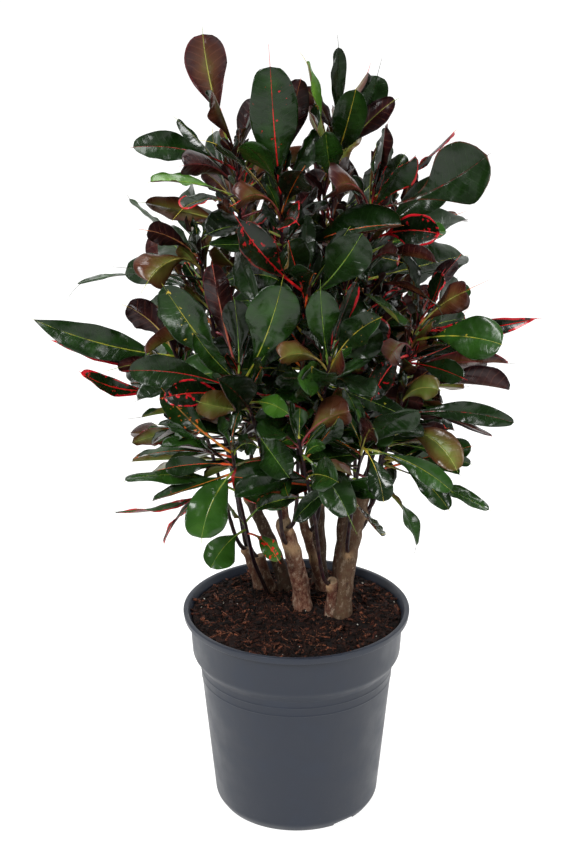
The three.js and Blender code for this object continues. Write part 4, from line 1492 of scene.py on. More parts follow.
SET_LEAVES = {
    "shoot_crown_left": [
        SetLeaf(700, (-88, -10, 826), 43, BACK, 20, 180,
                cup=-20, kind=Blade.SPATULA, rib=0.05, margin=0.2, olive=0.4, pale=0.5),
        SetLeaf(692, (-154, -40, 725), 30, FRONT, -35, 30, rib=0.8, pale=0.3, margin=0),
        SetLeaf(672, (-105, -60, 712), 34, BACK, -50, 20, cup=50, olive=0.05, rib=0.8),
        SetLeaf(664, (-140, -22, 688), 26, UP, -30, pale=0.85, rib=0.1),
        SetLeaf(650, (-108, -50, 668), 30, UP, -60, 30, pale=0.25),
    ],
    "shoot_crown_front": [
        SetLeaf(676, (-24, -62, 804), 46, FRONT, 12, fold=8,
                cup=-15, kind=Blade.OBLONG, rib=0.66, spots=0.5, pale=0.35, margin=0),
        SetLeaf(652, (-52, -92, 686), 38, BACK, -70, cup=60, kind=Blade.SPATULA, olive=0.5, rib=0.6),
        SetLeaf(684, (4, -22, 786), 30, BACK, -10, 20, olive=0.1, rib=0.5),
        SetLeaf(640, (0, -100, 668), 36, FRONT, -40, -20, rib=0.72, margin=1, pale=0.05, spots=0.7),
    ],
    "shoot_crown_right": [
        SetLeaf(660, (178, -62, 722), 68, FRONT, 28, -30,
                cup=25, kind=Blade.SPATULA, rib=0.9, margin=0.1, spots=0.3, pale=0.25),
        SetLeaf(670, (150, -22, 736), 14, RIGHT, 15, 40, olive=0.0, pale=0.0, margin=0.6),
        SetLeaf(655, (36, -84, 696), 48, BACK, -80, cup=60, kind=Blade.SPATULA, olive=0.35, rib=0.85),
        SetLeaf(668, (104, -12, 712), 20, FRONT, 10, pale=0.3),
        SetLeaf(628, (136, -60, 646), 38, FRONT, -40, fold=30, rib=0.66, margin=1, pale=0.0, spots=0.8),
        SetLeaf(615, (146, -12, 636), 26, LEFT, -30, pale=0.6, olive=0.9),
    ],
    "shoot_crown_middle": [
        SetLeaf(712, (40, 0, 812), 16, FRONT, 10, 60, pale=0.1, rib=1, margin=0, olive=0.1),
        SetLeaf(700, (56, -20, 776), 38, FRONT, 10, cup=30, kind=Blade.OBLONG, pale=0.35, rib=0.2),
        SetLeaf(706, (78, 20, 782), 36, FRONT, 30, kind=Blade.OBLONG, pale=0.3, rib=1, margin=0),
        SetLeaf(684, (10, -42, 806), 20, RIGHT, 10, rib=0.15, pale=0.9, olive=0.9),
        SetLeaf(690, (20, -52, 760), 36, LEFT, 15, 30, pale=0.15, rib=0.3),
        SetLeaf(672, (27, -62, 744), 30, FRONT, 20, rib=0.05, pale=0.45, spots=0.3),
    ],
    "shoot_left_high": [
        SetLeaf(608, (-142, -46, 646), 24, BACK, -30, 20, olive=0.0),
        SetLeaf(612, (-102, -80, 642), 26, FRONT, -40, pale=0.4),
        SetLeaf(596, (-142, -62, 600), 50, BACK, -90, cup=40, kind=Blade.SPATULA, olive=0.65, rib=0.1),
        SetLeaf(584, (-212, -42, 592), 12, UP, -30, kind=Blade.BROKEN, pale=0.35, rib=1, margin=0),
    ],
    "shoot_front_high": [
        SetLeaf(590, (-52, -112, 670), 36, FRONT, 20, fold=25, rib=0.68, pale=0.05, margin=0.15, spots=0.85),
        SetLeaf(582, (60, -112, 660), 44, FRONT, 20, 20, pale=0.3, rib=0.0, margin=0),
    ],
    "shoot_front_middle": [
        SetLeaf(524, (22, -126, 610), 34, FRONT, 20, rib=0.0, pale=0.42, margin=0),
        SetLeaf(506, (72, -132, 508), 30, UP, -50, pale=0.3),
        SetLeaf(515, (80, -112, 566), 34, FRONT, -20, 20, pale=0.2),
        SetLeaf(518, (-14, -138, 548), 32, BACK, -60, cup=40, olive=0.7),
    ],
    "shoot_right_mid": [
        SetLeaf(528, (196, -84, 544), 46, FRONT, -30, fold=12,
                cup=-20, rib=0.1, pale=0.48, spots=0.15, margin=0),
        SetLeaf(540, (232, -58, 562), 22, FRONT, 18, 50,
                kind=Blade.LANCE, rib=0.7, margin=1, pale=0.0, spots=0.3),
        SetLeaf(534, (170, 10, 540), 24, FRONT, -30, pale=0.3),
        SetLeaf(504, (162, -74, 506), 26, FRONT, -20, rib=0.75, pale=0.2),
        SetLeaf(512, (72, -104, 496), 26, FRONT, -50, rib=0.66, pale=0.0, spots=0.8),
        SetLeaf(520, (88, -92, 530), 26, BACK, -60, olive=0.5),
        SetLeaf(548, (140, -52, 606), 26, LEFT, 30, 40, olive=0.0, rib=0.75, pale=0.0),
        SetLeaf(545, (172, -4, 576), 20, FRONT, -20, pale=0.5),
        SetLeaf(552, (155, -30, 612), 20, BACK, -20, 30, olive=0.0, rib=0.7),
    ],
    "shoot_front_left": [
        SetLeaf(496, (-125, -92, 604), 44, FRONT, 10, -30, rib=0.12, spots=0.4, pale=0.38, margin=0),
        SetLeaf(500, (-14, -118, 612), 50, FRONT, 20, cup=-20, rib=0.1, pale=0.42, spots=0.2, margin=0),
        SetLeaf(488, (-160, -92, 520), 34, FRONT, -30, -20, rib=0.72, pale=0.3),
        SetLeaf(478, (-126, -112, 500), 28, FRONT, -30, rib=0.64, pale=0.05, margin=0.8, spots=0.9),
        SetLeaf(504, (-80, -66, 618), 30, BACK, 10, fold=30, olive=0.1, rib=0.55),
        SetLeaf(474, (-8, -122, 488), 24, FRONT, -30, pale=0.7),
    ],
    "shoot_left_mid": [
        SetLeaf(506, (-258, -30, 552), 36, FRONT, 20, -20, wave=4, kind=Blade.LANCE, rib=0.1, pale=0.35),
        SetLeaf(498, (-244, -10, 524), 22, FRONT, 10, 40,
                kind=Blade.LANCE, rib=0.6, margin=1, pale=0.0, spots=0.6),
        SetLeaf(486, (-176, -42, 506), 18, BACK, -40, olive=0.2),
        SetLeaf(476, (-210, -62, 508), 20, FRONT, 50, 80, margin=1, rib=0.64, pale=0.2, spots=0.7, olive=0.4),
    ],
    "shoot_low_left": [
        SetLeaf(424, (-130, -72, 494), 28, FRONT, 20, rib=0.36, pale=0.42, spots=0.95, margin=0),
        SetLeaf(418, (-160, -22, 404), 22, UP, -30, pale=0.4, rib=0.5),
        SetLeaf(420, (-38, -100, 446), 24, FRONT, -60, pale=0.2),
        SetLeaf(408, (-130, -64, 408), 22, FRONT, -20, rib=0.5, pale=0.3),
        SetLeaf(400, (-94, -90, 344), 44, FRONT, -60, fold=8,
                cup=-20, kind=Blade.OBLONG, pale=0.62, rib=0.05, spots=0.1, margin=0),
        SetLeaf(392, (-184, -40, 350), 14, UP, 40, 90, pale=0.5, margin=0.6),
        SetLeaf(386, (-134, -62, 326), 14, LEFT, -60, 60, margin=0.4, rib=0.5, olive=0.3),
        SetLeaf(322, (-6, -46, 380), 32, FRONT, -20, pale=0.58, rib=0.0, margin=0),
        SetLeaf(312, (-88, -44, 290), 36, FRONT, -50, pale=0.62, rib=0.05, margin=0),
        SetLeaf(318, (-72, -14, 352), 18, LEFT, 10, pale=0.6),
        SetLeaf(306, (-18, -36, 294), 20, FRONT, -60, 30, rib=0.5, spots=1, pale=0.7, margin=0.1),
    ],
    "shoot_right_low": [
        SetLeaf(408, (150, -92, 376), 24, FRONT, -40, pale=0.4, rib=0.15),
        SetLeaf(398, (190, -88, 374), 16, UP, -10, 100, pale=0.5),
        SetLeaf(458, (214, -62, 456), 23, FRONT, -30, 20, wave=5, kind=Blade.STRAP, rib=0.85, pale=0.3),
        SetLeaf(430, (156, -98, 420), 34, BACK, -100, olive=0.78, rib=0.05),
        SetLeaf(424, (175, -42, 404), 16, FRONT, -20, 40, pale=0.45),
        SetLeaf(462, (138, -62, 486), 28, BACK, -90, olive=0.9, rib=0.1),
    ],
    "shoot_front_right": [
        SetLeaf(440, (84, -124, 398), 26, FRONT, -60, pale=0.35),
        SetLeaf(436, (150, -112, 404), 24, FRONT, -40, 20, rib=0.1, pale=0.5),
        SetLeaf(402, (120, -88, 336), 18, RIGHT, -70, 90, wave=4, kind=Blade.STRAP, pale=0.5, olive=0.8),
    ],
    "shoot_front_low": [
        SetLeaf(438, (50, -136, 388), 34, FRONT, -40, fold=12,
                kind=Blade.OBLONG, pale=0.4, rib=0.0, margin=0),
        SetLeaf(448, (50, -128, 492), 40, BACK, -50, cup=30, olive=0.55),
        SetLeaf(444, (-34, -140, 470), 36, UP, -60, pale=0.3),
    ],
}


@dataclass
class Growth:
    """The rule by which leaves are placed: set leaves first, then each shoot's own, where there is room."""

    seed: int = 4
    golden_angle: float = 137.5
    band: float = 100.0
    heart_depth: float = 3.0
    lengths: tuple[float, float] = (118, 78)
    rises: tuple[float, float] = (-8, 72)
    rise_curve: float = 1.2
    length_spread: tuple[float, float] = (0.85, 1.2)
    rise_spread: float = 16.0
    azimuth_spread: float = 14.0
    face_spread: float = 0.6
    bends: tuple[float, float] = (10, -50)
    turn_spread: float = 30.0
    twist_spread: float = 70.0
    folds: tuple[float, float] = (12, 32)
    cup_spread: float = 50.0
    wave_heights: tuple[float, float] = (0, 3)
    wave_counts: tuple[float, float] = (1.5, 3)
    slimness: tuple[float, float] = (0.3, 0.46)
    strap_share: float = 0.25
    strap_slimness: float = 0.6
    face_up: float = 0.6
    tries: int = 14
    axis: tuple[float, float] = (-8, -2)
    outline: tuple[tuple[float, float], ...] = (
        (280, 120), (330, 170), (400, 205), (520, 236), (580, 215), (640, 185), (720, 165), (815, 85))
    bottom: tuple[float, float] = (405, 305)
    reach: float = 236.0
    shoot_turn: float = 50.0
    try_turn: float = 34.0
    leaf_clearance: float = 7.5
    own_clearance: float = 4.5
    own_root: float = 0.42
    wood_clearance: float = 4.0
    set_trim: float = 0.85
    lowest: float = 240.0
    nudges: tuple[Point, ...] = (
        (0, 0, 0), (0, -10, 0), (0, 10, 0), (0, -10, 8), (0, -10, -8), (0, 14, 8), (0, 14, -8), (0, -22, 0),
        (0, 22, 0), (-8, -12, 0), (8, -12, 0), (0, -32, 6), (0, 32, 6), (0, -32, -10), (0, -44, 0))
    curves: dict[str, Curve] = field(
        default_factory=lambda: {name: shoot.curve() for name, shoot in SHOOTS.items()})
    taken: list[tuple[np.ndarray, np.ndarray, str]] = field(default_factory=list)
    corners: np.ndarray = field(default_factory=lambda: np.zeros((0, 2, 3)))
    young_seed: int = 5004
    young_floor: float = 400.0
    long_band: float = 200.0
    young_more: int = 6
    young_spacing: float = 7.0
    young_lengths: tuple[float, float] = (84, 38)
    young_trim: float = 0.55
    young_reach: float = 0.84

    def __post_init__(self) -> None:
        """Lays out the places that are tested on each leaf, and the wood that they keep clear of."""
        coarse = np.array([0.12, 0.22, 0.33, 0.44, 0.55, 0.67, 0.79, 0.9, 1])
        fine = 0.1 + 0.06 * np.arange(16)
        self.coarse = [a.ravel() for a in np.meshgrid(np.array([-1, -0.5, 0, 0.5, 1]), coarse)]
        self.fine = [a.ravel() for a in np.meshgrid(np.array([-1, -0.6, -0.2, 0.2, 0.6, 1]), fine)]
        rows = []
        for trunk in TRUNKS.values():
            rows += self.poles(trunk.curve(), TRUNK_STEPS, trunk.radii, "wood")
        for name, curve in self.curves.items():
            rows += self.poles(curve, STEM_STEPS, STEM_RADII, name)
        self.wood_start, self.wood_step, self.wood_room, self.wood_owner = map(np.array, zip(*rows))

    def poles(self, curve: Curve, count: int, radii: tuple[float, float], owner: str) -> list[tuple]:
        """Cuts a trunk or a stem into straight lengths.

        Args:
            curve: Its line.
            count: How many lengths.
            radii: Its radii at foot and top.
            owner: The shoot, or "wood".

        Returns:
            Start, step, the room that a leaf keeps to it and owner of each.
        """
        points = [curve.at(i / count) for i in range(count + 1)]
        return [
            (a, b - a, mix(*radii, (i + 0.5) / count) + self.wood_clearance, owner)
            for i, (a, b) in enumerate(zip(points, points[1:]))
        ]

    def clear_of_wood(self, points: np.ndarray, name: str) -> bool:
        """Tells whether points keep clear of every trunk and of every other stem.

        Args:
            points: The points.
            name: The shoot that they belong to.

        Returns:
            Whether they do.
        """
        if (points[:, 2] <= self.lowest).any():
            return False
        others = self.wood_owner != name
        start, step, room = self.wood_start[others], self.wood_step[others], self.wood_room[others]
        away = points[:, None] - start
        share = np.clip((away * step).sum(-1) / (step * step).sum(-1), 0, 1)
        away = away - step * share[..., None]
        return bool(((away * away).sum(-1) > room * room).all())

    def clear_of_leaves(self, points: np.ndarray, s: np.ndarray, name: str, trim: float) -> bool:
        """Tells whether points keep clear of those of the leaves before this one.

        Args:
            points: The points.
            s: Their shares of the way along the leaf.
            name: Its shoot.
            trim: How much of the usual room it keeps.

        Returns:
            Whether they do.
        """
        low, high = points.min(0) - self.leaf_clearance, points.max(0) + self.leaf_clearance
        near = (self.corners[:, 0] < high) & (self.corners[:, 1] > low)
        for number in np.flatnonzero(near.all(1)):
            other, other_s, owner = self.taken[number]
            away = points[:, None] - other
            gaps = (away * away).sum(-1)
            needed = (self.own_clearance if owner == name else self.leaf_clearance) * trim
            if owner == name:
                gaps = gaps[s >= self.own_root][:, other_s >= self.own_root]
            if (gaps <= needed * needed).any():
                return False
        return True

    def inside_crown(self, points: np.ndarray, reach: float) -> bool:
        """Tells whether points lie within the crown's outline, or within a share of its radius.

        Args:
            points: The points.
            reach: The share of the crown's radius, 1 for all of it.

        Returns:
            Whether they do.
        """
        away = np.hypot(points[:, 0] - self.axis[0], points[:, 1] - self.axis[1])
        heights, radii = np.array(self.outline).T
        z = points[:, 2]
        lowest = self.bottom[0] + (self.bottom[1] - self.bottom[0]) * away / self.reach
        if (z < heights[0]).any() or (z >= heights[-1]).any() or (z < lowest).any():
            return False
        return bool((away < np.interp(z, heights, radii) * reach).all())

    def settle(self, name: str, leaf: Leaf, trim: float, reach: Optional[float]) -> bool:
        """Tests one leaf and notes its room if it has any.

        Args:
            name: The shoot that it grows on.
            leaf: The leaf.
            trim: How much of the usual room it keeps.
            reach: How much of the crown's radius it stays within, if it does.

        Returns:
            Whether it may stand.
        """
        u, s = self.coarse
        points = leaf.points(u, s)
        if reach and not self.inside_crown(points, reach):
            return False
        if not self.clear_of_leaves(points, s, name, trim):
            return False
        if not self.clear_of_wood(leaf.points(*self.fine), name):
            return False
        self.taken.append((points, s, name))
        self.corners = np.concatenate([self.corners, [[points.min(0), points.max(0)]]])
        return True

    def set_leaf(self, name: str, choice: SetLeaf) -> Leaf:
        """Roots a set leaf.

        Args:
            name: The shoot that it grows on.
            choice: How it is set.

        Returns:
            The leaf, not yet aimed.
        """
        root = self.curves[name].at_height(choice.z)[1]
        phase = Draws(self.seed + round(choice.z + choice.tip[0] + choice.tip[2]))()
        return Leaf(
            tuple(root), choice.width, choice.bend, 0, choice.twist, choice.fold, choice.cup, choice.wave,
            phase=phase, kind=choice.kind)

    def rule_leaf(
        self, name: str, order: float, azimuth: float, draw: Draws
    ) -> tuple[Leaf, np.ndarray, Point]:
        """Draws a leaf by rule.

        Args:
            name: The shoot that it grows on.
            order: 0 for the shoot's lowest leaf and 1 for the one at its heart.
            azimuth: Its compass angle.
            draw: The random numbers.

        Returns:
            The leaf, not yet aimed, its tip and the way it faces.
        """
        span = mix(*self.lengths, order) * mix(*self.length_spread, draw())
        rise = math.radians(mix(*self.rises, order ** self.rise_curve) + self.rise_spread * draw.either())
        heading = math.radians(azimuth + self.azimuth_spread * draw.either())
        height = SHOOTS[name].heart[2] - self.heart_depth - self.band * (1 - order)
        root = self.curves[name].at_height(height)[1]
        level = math.cos(rise)
        step = np.array([level * math.cos(heading), level * math.sin(heading), math.sin(rise)])
        strap = draw() < self.strap_share
        slimness = mix(*self.slimness, draw()) * (self.strap_slimness if strap else 1)
        middle = root + step * span / 2
        outward = np.array([middle[0] - self.axis[0], middle[1] - self.axis[1]])
        outward /= np.linalg.norm(outward)
        face = (*[part + self.face_spread * draw.either() for part in outward], self.face_up)
        bend = mix(*self.bends, draw())
        turn, twist = self.turn_spread * draw.either(), self.twist_spread * draw.either()
        fold, cup = mix(*self.folds, draw()), self.cup_spread * draw.either()
        wave, waves, phase = mix(*self.wave_heights, draw()), mix(*self.wave_counts, draw()), draw()
        kind = Blade.STRAP if strap else Blade.SPOON
        leaf = Leaf(tuple(root), span * slimness, bend, turn, twist, fold, cup, wave, waves, phase, kind)
        return leaf, root + step * span, face

    def grow(
        self, name: str, order: float, azimuth: float, draw: Draws, dye: "Dyer", trim: float, reach: float
    ) -> list[Leaf]:
        """Draws a leaf by rule again and again, turned on each time, until one has room.

        Args:
            name: The shoot that it grows on.
            order: 0 for the shoot's lowest leaf and 1 for the one at its heart.
            azimuth: The compass angle that is tried first.
            draw: The random numbers.
            dye: What chooses its colours.
            trim: How much of the usual room it keeps.
            reach: How much of the crown's radius it stays within.

        Returns:
            The leaf, or nothing if there is no room.
        """
        for attempt in range(self.tries):
            leaf, tip, face = self.rule_leaf(name, order, azimuth + self.try_turn * attempt, draw)
            aimed = leaf.aimed(tip, face)
            if self.settle(name, aimed, trim, reach):
                return [replace(aimed, paint=dye.paint(aimed))]
        return []

    def place(self) -> dict[str, list[Leaf]]:
        """Places every leaf.

        Returns:
            Each shoot's leaves.
        """
        placed: dict[str, list[Leaf]] = {name: [] for name in SHOOTS}
        dye = Dyer()
        for name, choices in SET_LEAVES.items():
            for choice in choices:
                leaf = self.set_leaf(name, choice)
                for nudge in self.nudges:
                    aimed = leaf.aimed(np.array(choice.tip, float) + np.array(nudge), choice.face)
                    if self.settle(name, aimed, self.set_trim, None):
                        placed[name].append(replace(aimed, paint=dye.set_paint(choice, aimed)))
                        break
        for number, (name, shoot) in enumerate(SHOOTS.items()):
            for i in range(shoot.leaves):
                draw = Draws(self.seed + 1000 * number + i)
                azimuth = self.shoot_turn * number + self.golden_angle * i
                placed[name] += self.grow(name, i / (shoot.leaves - 1), azimuth, draw, dye, 1, 1)
        return placed

    def young(self) -> dict[str, list[Leaf]]:
        """Places the small inner leaves, which only this scene shows, where the larger leaves leave room.

        They aren't reliably kept clear of one another, so some of them cross inside the crown.

        Returns:
            Each shoot's young leaves.
        """
        placed: dict[str, list[Leaf]] = {name: [] for name in SHOOTS}
        dye = Dyer(self.seed)
        for number, name in enumerate(SHOOTS):
            band = SHOOTS[name].heart[2] - self.young_floor
            grower = replace(self, band=band, lengths=self.young_lengths)
            more = self.young_more if band > self.long_band else 0
            count = max(3, round(band / self.young_spacing)) + more
            for i in range(count):
                draw = Draws(self.young_seed + 100 * number + i)
                azimuth = self.shoot_turn * number + self.golden_angle * (i + 0.5)
                placed[name] += grower.grow(
                    name, i / (count - 1), azimuth, draw, dye, self.young_trim, self.young_reach)
        return placed


class Dyer:
    """Chooses the colours of leaves. Leaves that grew in the light are darker, lower ones greener."""

    SHADE_HEIGHT, SHADE_SPAN = 330, 350
    DARK_LEAF = 0.22
    DARK_RIBS = (0.0, 0.45, 0.6, 0.7, 0.78, 0.86, 0.92, 1, 1)
    LIGHT_RIBS = (0.0, 0.03, 0.08, 0.2, 0.45, 0.95, 1, 1)
    MARGINS = (0, 0, 0, 0, 0, 0, 0.45)
    SPOTS = (0, 0, 0, 0.5)

    def __init__(self, seed: int = 31) -> None:
        """Starts its random numbers."""
        self.draw = random.Random(seed)

    def paint(self, leaf: Leaf) -> Paint:
        """Draws the colours of a leaf that has none of its own.

        Args:
            leaf: The leaf.

        Returns:
            Its colours.
        """
        draw = self.draw
        low = 1 - clamp((leaf.root[2] - self.SHADE_HEIGHT) / self.SHADE_SPAN)
        pale = clamp(0.16 + 0.32 * low + draw.gauss(0, 0.14))
        ribs = self.DARK_RIBS if pale < self.DARK_LEAF else self.LIGHT_RIBS
        rib = draw.choice(ribs) + draw.uniform(-0.04, 0.04)
        margin = draw.choice(self.MARGINS) * draw.random()
        spots = draw.choice(self.SPOTS) * draw.random()
        olive = clamp(draw.gauss(0.3 + 0.35 * low, 0.26))
        return Paint(clamp(rib), margin, spots, pale, olive)

    def set_paint(self, choice: SetLeaf, leaf: Leaf) -> Paint:
        """Draws the colours that a set leaf leaves open.

        Args:
            choice: How it is set.
            leaf: The leaf.

        Returns:
            Its colours.
        """
        drawn = self.paint(leaf)
        chosen = {key: getattr(choice, key) for key in ("rib", "margin", "spots", "pale", "olive")}
        return replace(drawn, **{key: value for key, value in chosen.items() if value is not None})


# Leafy shoots


@dataclass
class LeafCutter:
    """Makes fine leaves: each is one grid, given a thin second face, bent to its leaf's form."""

    columns: tuple[float, ...] = (0, 0.045, 0.13, 0.28, 0.46, 0.66, 0.84, 0.94, 1)
    rows: int = 24
    row_spread: float = 1.35
    blade_thickness: float = 0.55
    rim_thickness: float = 0.16
    rib_height: float = 0.8
    rib_half_width: float = 1.1
    groove_depth: float = 0.35
    soft_break: float = 0.05
    uneven: float = 0.05
    frill: float = 1.0
    frill_beat: float = 2.3
    usual_width: float = 40.0
    swell: float = 2.4
    swell_spacing: float = 21.0
    blister: float = 0.5
    blister_spacing: float = 7.0
    curls: tuple[float, ...] = (-1, -1, -0.4, 0.4, 1)
    rim_curl: float = 2.4
    rim_start: float = 0.7

    def __post_init__(self) -> None:
        """Makes the flat blade that every leaf is a copy of."""
        bm = bmesh.new()
        last = len(self.columns) - 1
        bmesh.ops.create_grid(bm, x_segments=2 * last, y_segments=self.rows, size=1)
        bmesh.ops.solidify(bm, geom=bm.faces[:], thickness=1)
        bm.normal_update()
        for face in bm.faces:
            face.material_index = 1 if face.normal.z < -0.5 else 0
        self.stamp = Stamp(bm)
        x, y, z = self.stamp.places.T
        self.u = np.sign(x) * np.interp(np.abs(x), np.linspace(0, 1, last + 1), self.columns)
        self.s = 1 - (1 - np.clip((y + 1) / 2, 0, 1)) ** self.row_spread
        self.under = z < -0.5

    def outline(self, leaf: Leaf) -> np.ndarray:
        """Gives half the fine blade's width: narrower at its base, rounder at its tip and a little uneven.

        Args:
            leaf: The leaf.

        Returns:
            It, for each of the blade's vertices.
        """
        peak, _, base, tip = leaf.kind.value
        share = np.clip((self.s - STALK_END) / (1 - STALK_END), 0, 1)
        power = np.where(share ** peak < 0.5, base, tip)
        half = leaf.width / 2 * np.clip(np.sin(np.pi * share ** peak), 0, 1) ** power
        half = half * (1 + self.uneven * np.sin(9 * self.s + 20 * leaf.phase + np.sign(self.u)))
        half = np.maximum(STALK_HALF_WIDTH * (1 - share) ** 0.5, half)
        if leaf.kind is Blade.BROKEN:
            start, end = BREAK_SPAN
            soft = self.soft_break
            bare = np.clip((self.s - start + soft) / soft, 0, 1) * np.clip((end - self.s + soft) / soft, 0, 1)
            half = half + (STALK_HALF_WIDTH / 2 - half) * bare
        return half

    def thickness(self, half: np.ndarray) -> np.ndarray:
        """Works out how thick the blade is.

        Args:
            half: Half its width at each vertex.

        Returns:
            Each vertex's height over the blade's middle surface.
        """
        reach = np.abs(self.u)
        stalk = np.clip((STALK_END * 1.5 - self.s) / (STALK_END * 0.8), 0, 1)
        blade = self.rim_thickness + (self.blade_thickness - self.rim_thickness) * (1 - reach ** 3)
        round_stalk = STALK_THICKNESS * np.sqrt(np.clip(1 - reach ** 2, 0.03, 1))
        thick = blade + (round_stalk - blade) * stalk
        middle = np.exp(-(reach * half / self.rib_half_width) ** 2) * np.sqrt(1 - self.s * 0.9) * (1 - stalk)
        lower, upper = -thick / 2 - self.rib_height * middle, thick / 2 - self.groove_depth * middle
        return np.where(self.under, lower, upper)

    def cut(self, bm: bmesh.types.BMesh, leaf: Leaf, draw: random.Random) -> None:
        """Adds one fine leaf to a shoot's mesh.

        Args:
            bm: The mesh, whose layers hold the leaf's colours.
            leaf: The leaf's form.
            draw: Random numbers, for its frill, its rim and its patterns.
        """
        half = self.outline(leaf)
        reach = np.abs(self.u)
        open_share = np.minimum(1, 2 * half / leaf.width)
        right = np.where(self.u > 0, 0.4, 0)
        beat = 2 * np.pi * (leaf.waves * self.frill_beat * self.s + leaf.phase * 5 + right)
        frill = self.frill * draw.uniform(0.2, 1.5) * reach ** 4 * np.sin(beat)
        rim = np.clip((reach - self.rim_start) / (1 - self.rim_start), 0, 1) ** 1.7
        drift = 0.5 + 0.5 * np.sin(5 * self.s + 30 * leaf.phase + 2 * np.sign(self.u))
        curl = draw.choice(self.curls) * self.rim_curl * min(leaf.width / self.usual_width, 1.2) * rim * drift
        spots = np.stack([self.u * half, self.s * leaf.length, np.full_like(half, 99 * leaf.phase)], -1)
        pillow = lumps(spots, self.swell_spacing) * (self.swell * (leaf.width / self.usual_width) ** 0.8)
        swell = pillow * np.minimum(1, 4 * reach) + lumps(spots, self.blister_spacing) * self.blister * reach
        lift = self.thickness(half) + (frill + curl + swell) * open_share
        points = leaf.surface(self.u, self.s, half, lift, np.abs(curl) * 0.6 * rim * open_share)
        across, along = self.u * half, self.s * leaf.length
        edge = np.minimum((1 - reach) * half, (1 - self.s) * leaf.length * 0.5 + 0.2)
        rib_half = np.where(self.s < STALK_END * 1.1, 4, 0.14 + 0.019 * leaf.width * (1 - self.s) ** 1.15)
        rib_half = rib_half * (1 + 1.4 * max(leaf.paint.margin, 2 * leaf.paint.spots - 1))
        paint = leaf.paint
        self.stamp.press(
            bm, points, blade=np.stack([across, along, edge], -1), rib=np.abs(across) / rib_half,
            dress=(paint.rib, paint.margin, paint.spots), shade=(paint.pale, paint.olive, draw.random()))


@dataclass
class LeafyShoot:
    """One shoot: its stem with leaf scars, its leaves, and the bare midrib hairs past their tips."""

    name: str
    curve: Curve
    leaves: list[Leaf]
    young: list[Leaf]
    stem_sides: int = 10
    stem_rows: int = 60
    scar_spacing: float = 9.0
    scar_sharpness: float = 5.0
    scar_rise: float = 0.35
    stem_share: float = 0.92
    stem_lumps: tuple[float, float] = (6.0, 0.12)
    woody: tuple[float, float] = (0.85, 1.9)
    hair_radius: float = 0.4
    hair_lengths: tuple[float, ...] = (2, 3, 4, 6, 9, 16)

    def add_stem(self, bm: bmesh.types.BMesh) -> None:
        """Adds the stem, swollen where leaves have dropped and woody towards its foot.

        Args:
            bm: The shoot's mesh.
        """
        tube = tube_stamp(self.stem_sides, self.stem_rows)
        turn, _, height = tube.places.T
        point, way = self.curve.rings(height, turn)
        beat = height * math.dist(self.curve.at(0), self.curve.at(1)) / self.scar_spacing
        scar = np.maximum(0, 1 - np.abs(beat - np.rint(beat)) * self.scar_sharpness)
        radius = (STEM_RADII[0] + (STEM_RADII[1] - STEM_RADII[0]) * height) * self.stem_share
        radius += self.scar_rise * scar
        radius *= 1 + self.stem_lumps[1] * lumps(point + way * 3, self.stem_lumps[0])
        woody = np.clip(self.woody[0] - self.woody[1] * height, 0, 1)
        bark = np.stack([woody, np.zeros_like(woody), scar], -1)
        for vert in tube.press(bm, point + way * radius[:, None], bark=bark):
            for face in vert.link_faces:
                face.material_index = 2

    def add_hair(self, bm: bmesh.types.BMesh, leaf: Leaf, tube: Stamp, draw: random.Random) -> None:
        """Adds the fine bare end of a leaf's midrib, past its tip.

        Args:
            bm: The shoot's mesh.
            leaf: The leaf.
            tube: The hair's shape.
            draw: The random numbers.
        """
        length = draw.choice(self.hair_lengths) * draw.uniform(0.8, 1.3)
        curl = draw.gauss(0, 0.5) * length
        s = np.array([0.93, 1.0])
        points, across, normal = leaf.frames(s)
        ahead = leaf.heading(s)[1]
        reach = (points[1] - points[0]).dot(ahead) + length
        turn, height = math.tau * tube.places[:, :1], tube.places[:, 2:]
        middle = points[0] + ahead * reach * height + normal[1] * curl * height ** 2
        way = across[1] * np.cos(turn) + normal[1] * np.sin(turn)
        paint = leaf.paint
        tube.press(
            bm, middle + way * self.hair_radius * (1 - 0.6 * height),
            dress=(paint.rib, 0, 0), shade=(paint.pale, paint.olive, 0))

    def build(
        self, finishes: Sequence[bpy.types.Material], cutters: Sequence[LeafCutter]
    ) -> bpy.types.Object:
        """Makes the shoot.

        Args:
            finishes: The materials of a leaf's upper side and underside and of a stem.
            cutters: What makes its leaves and its young leaves.

        Returns:
            The piece.
        """
        draw = random.Random(self.name)
        bm = bmesh.new()
        for name in ("blade", "dress", "shade", "bark"):
            bm.verts.layers.float_vector.new(name)
        bm.verts.layers.float.new("rib")
        hair = tube_stamp(3, 5)
        for leaf in self.leaves:
            cutters[0].cut(bm, leaf, draw)
            self.add_hair(bm, leaf, hair, draw)
        for leaf in self.young:
            cutters[1].cut(bm, leaf, draw)
        self.add_stem(bm)
        shown = self.name.replace("shoot", "leafy_shoot")
        return deliver(finish_mesh(bm, shown, finishes), self.name)


# Trunks


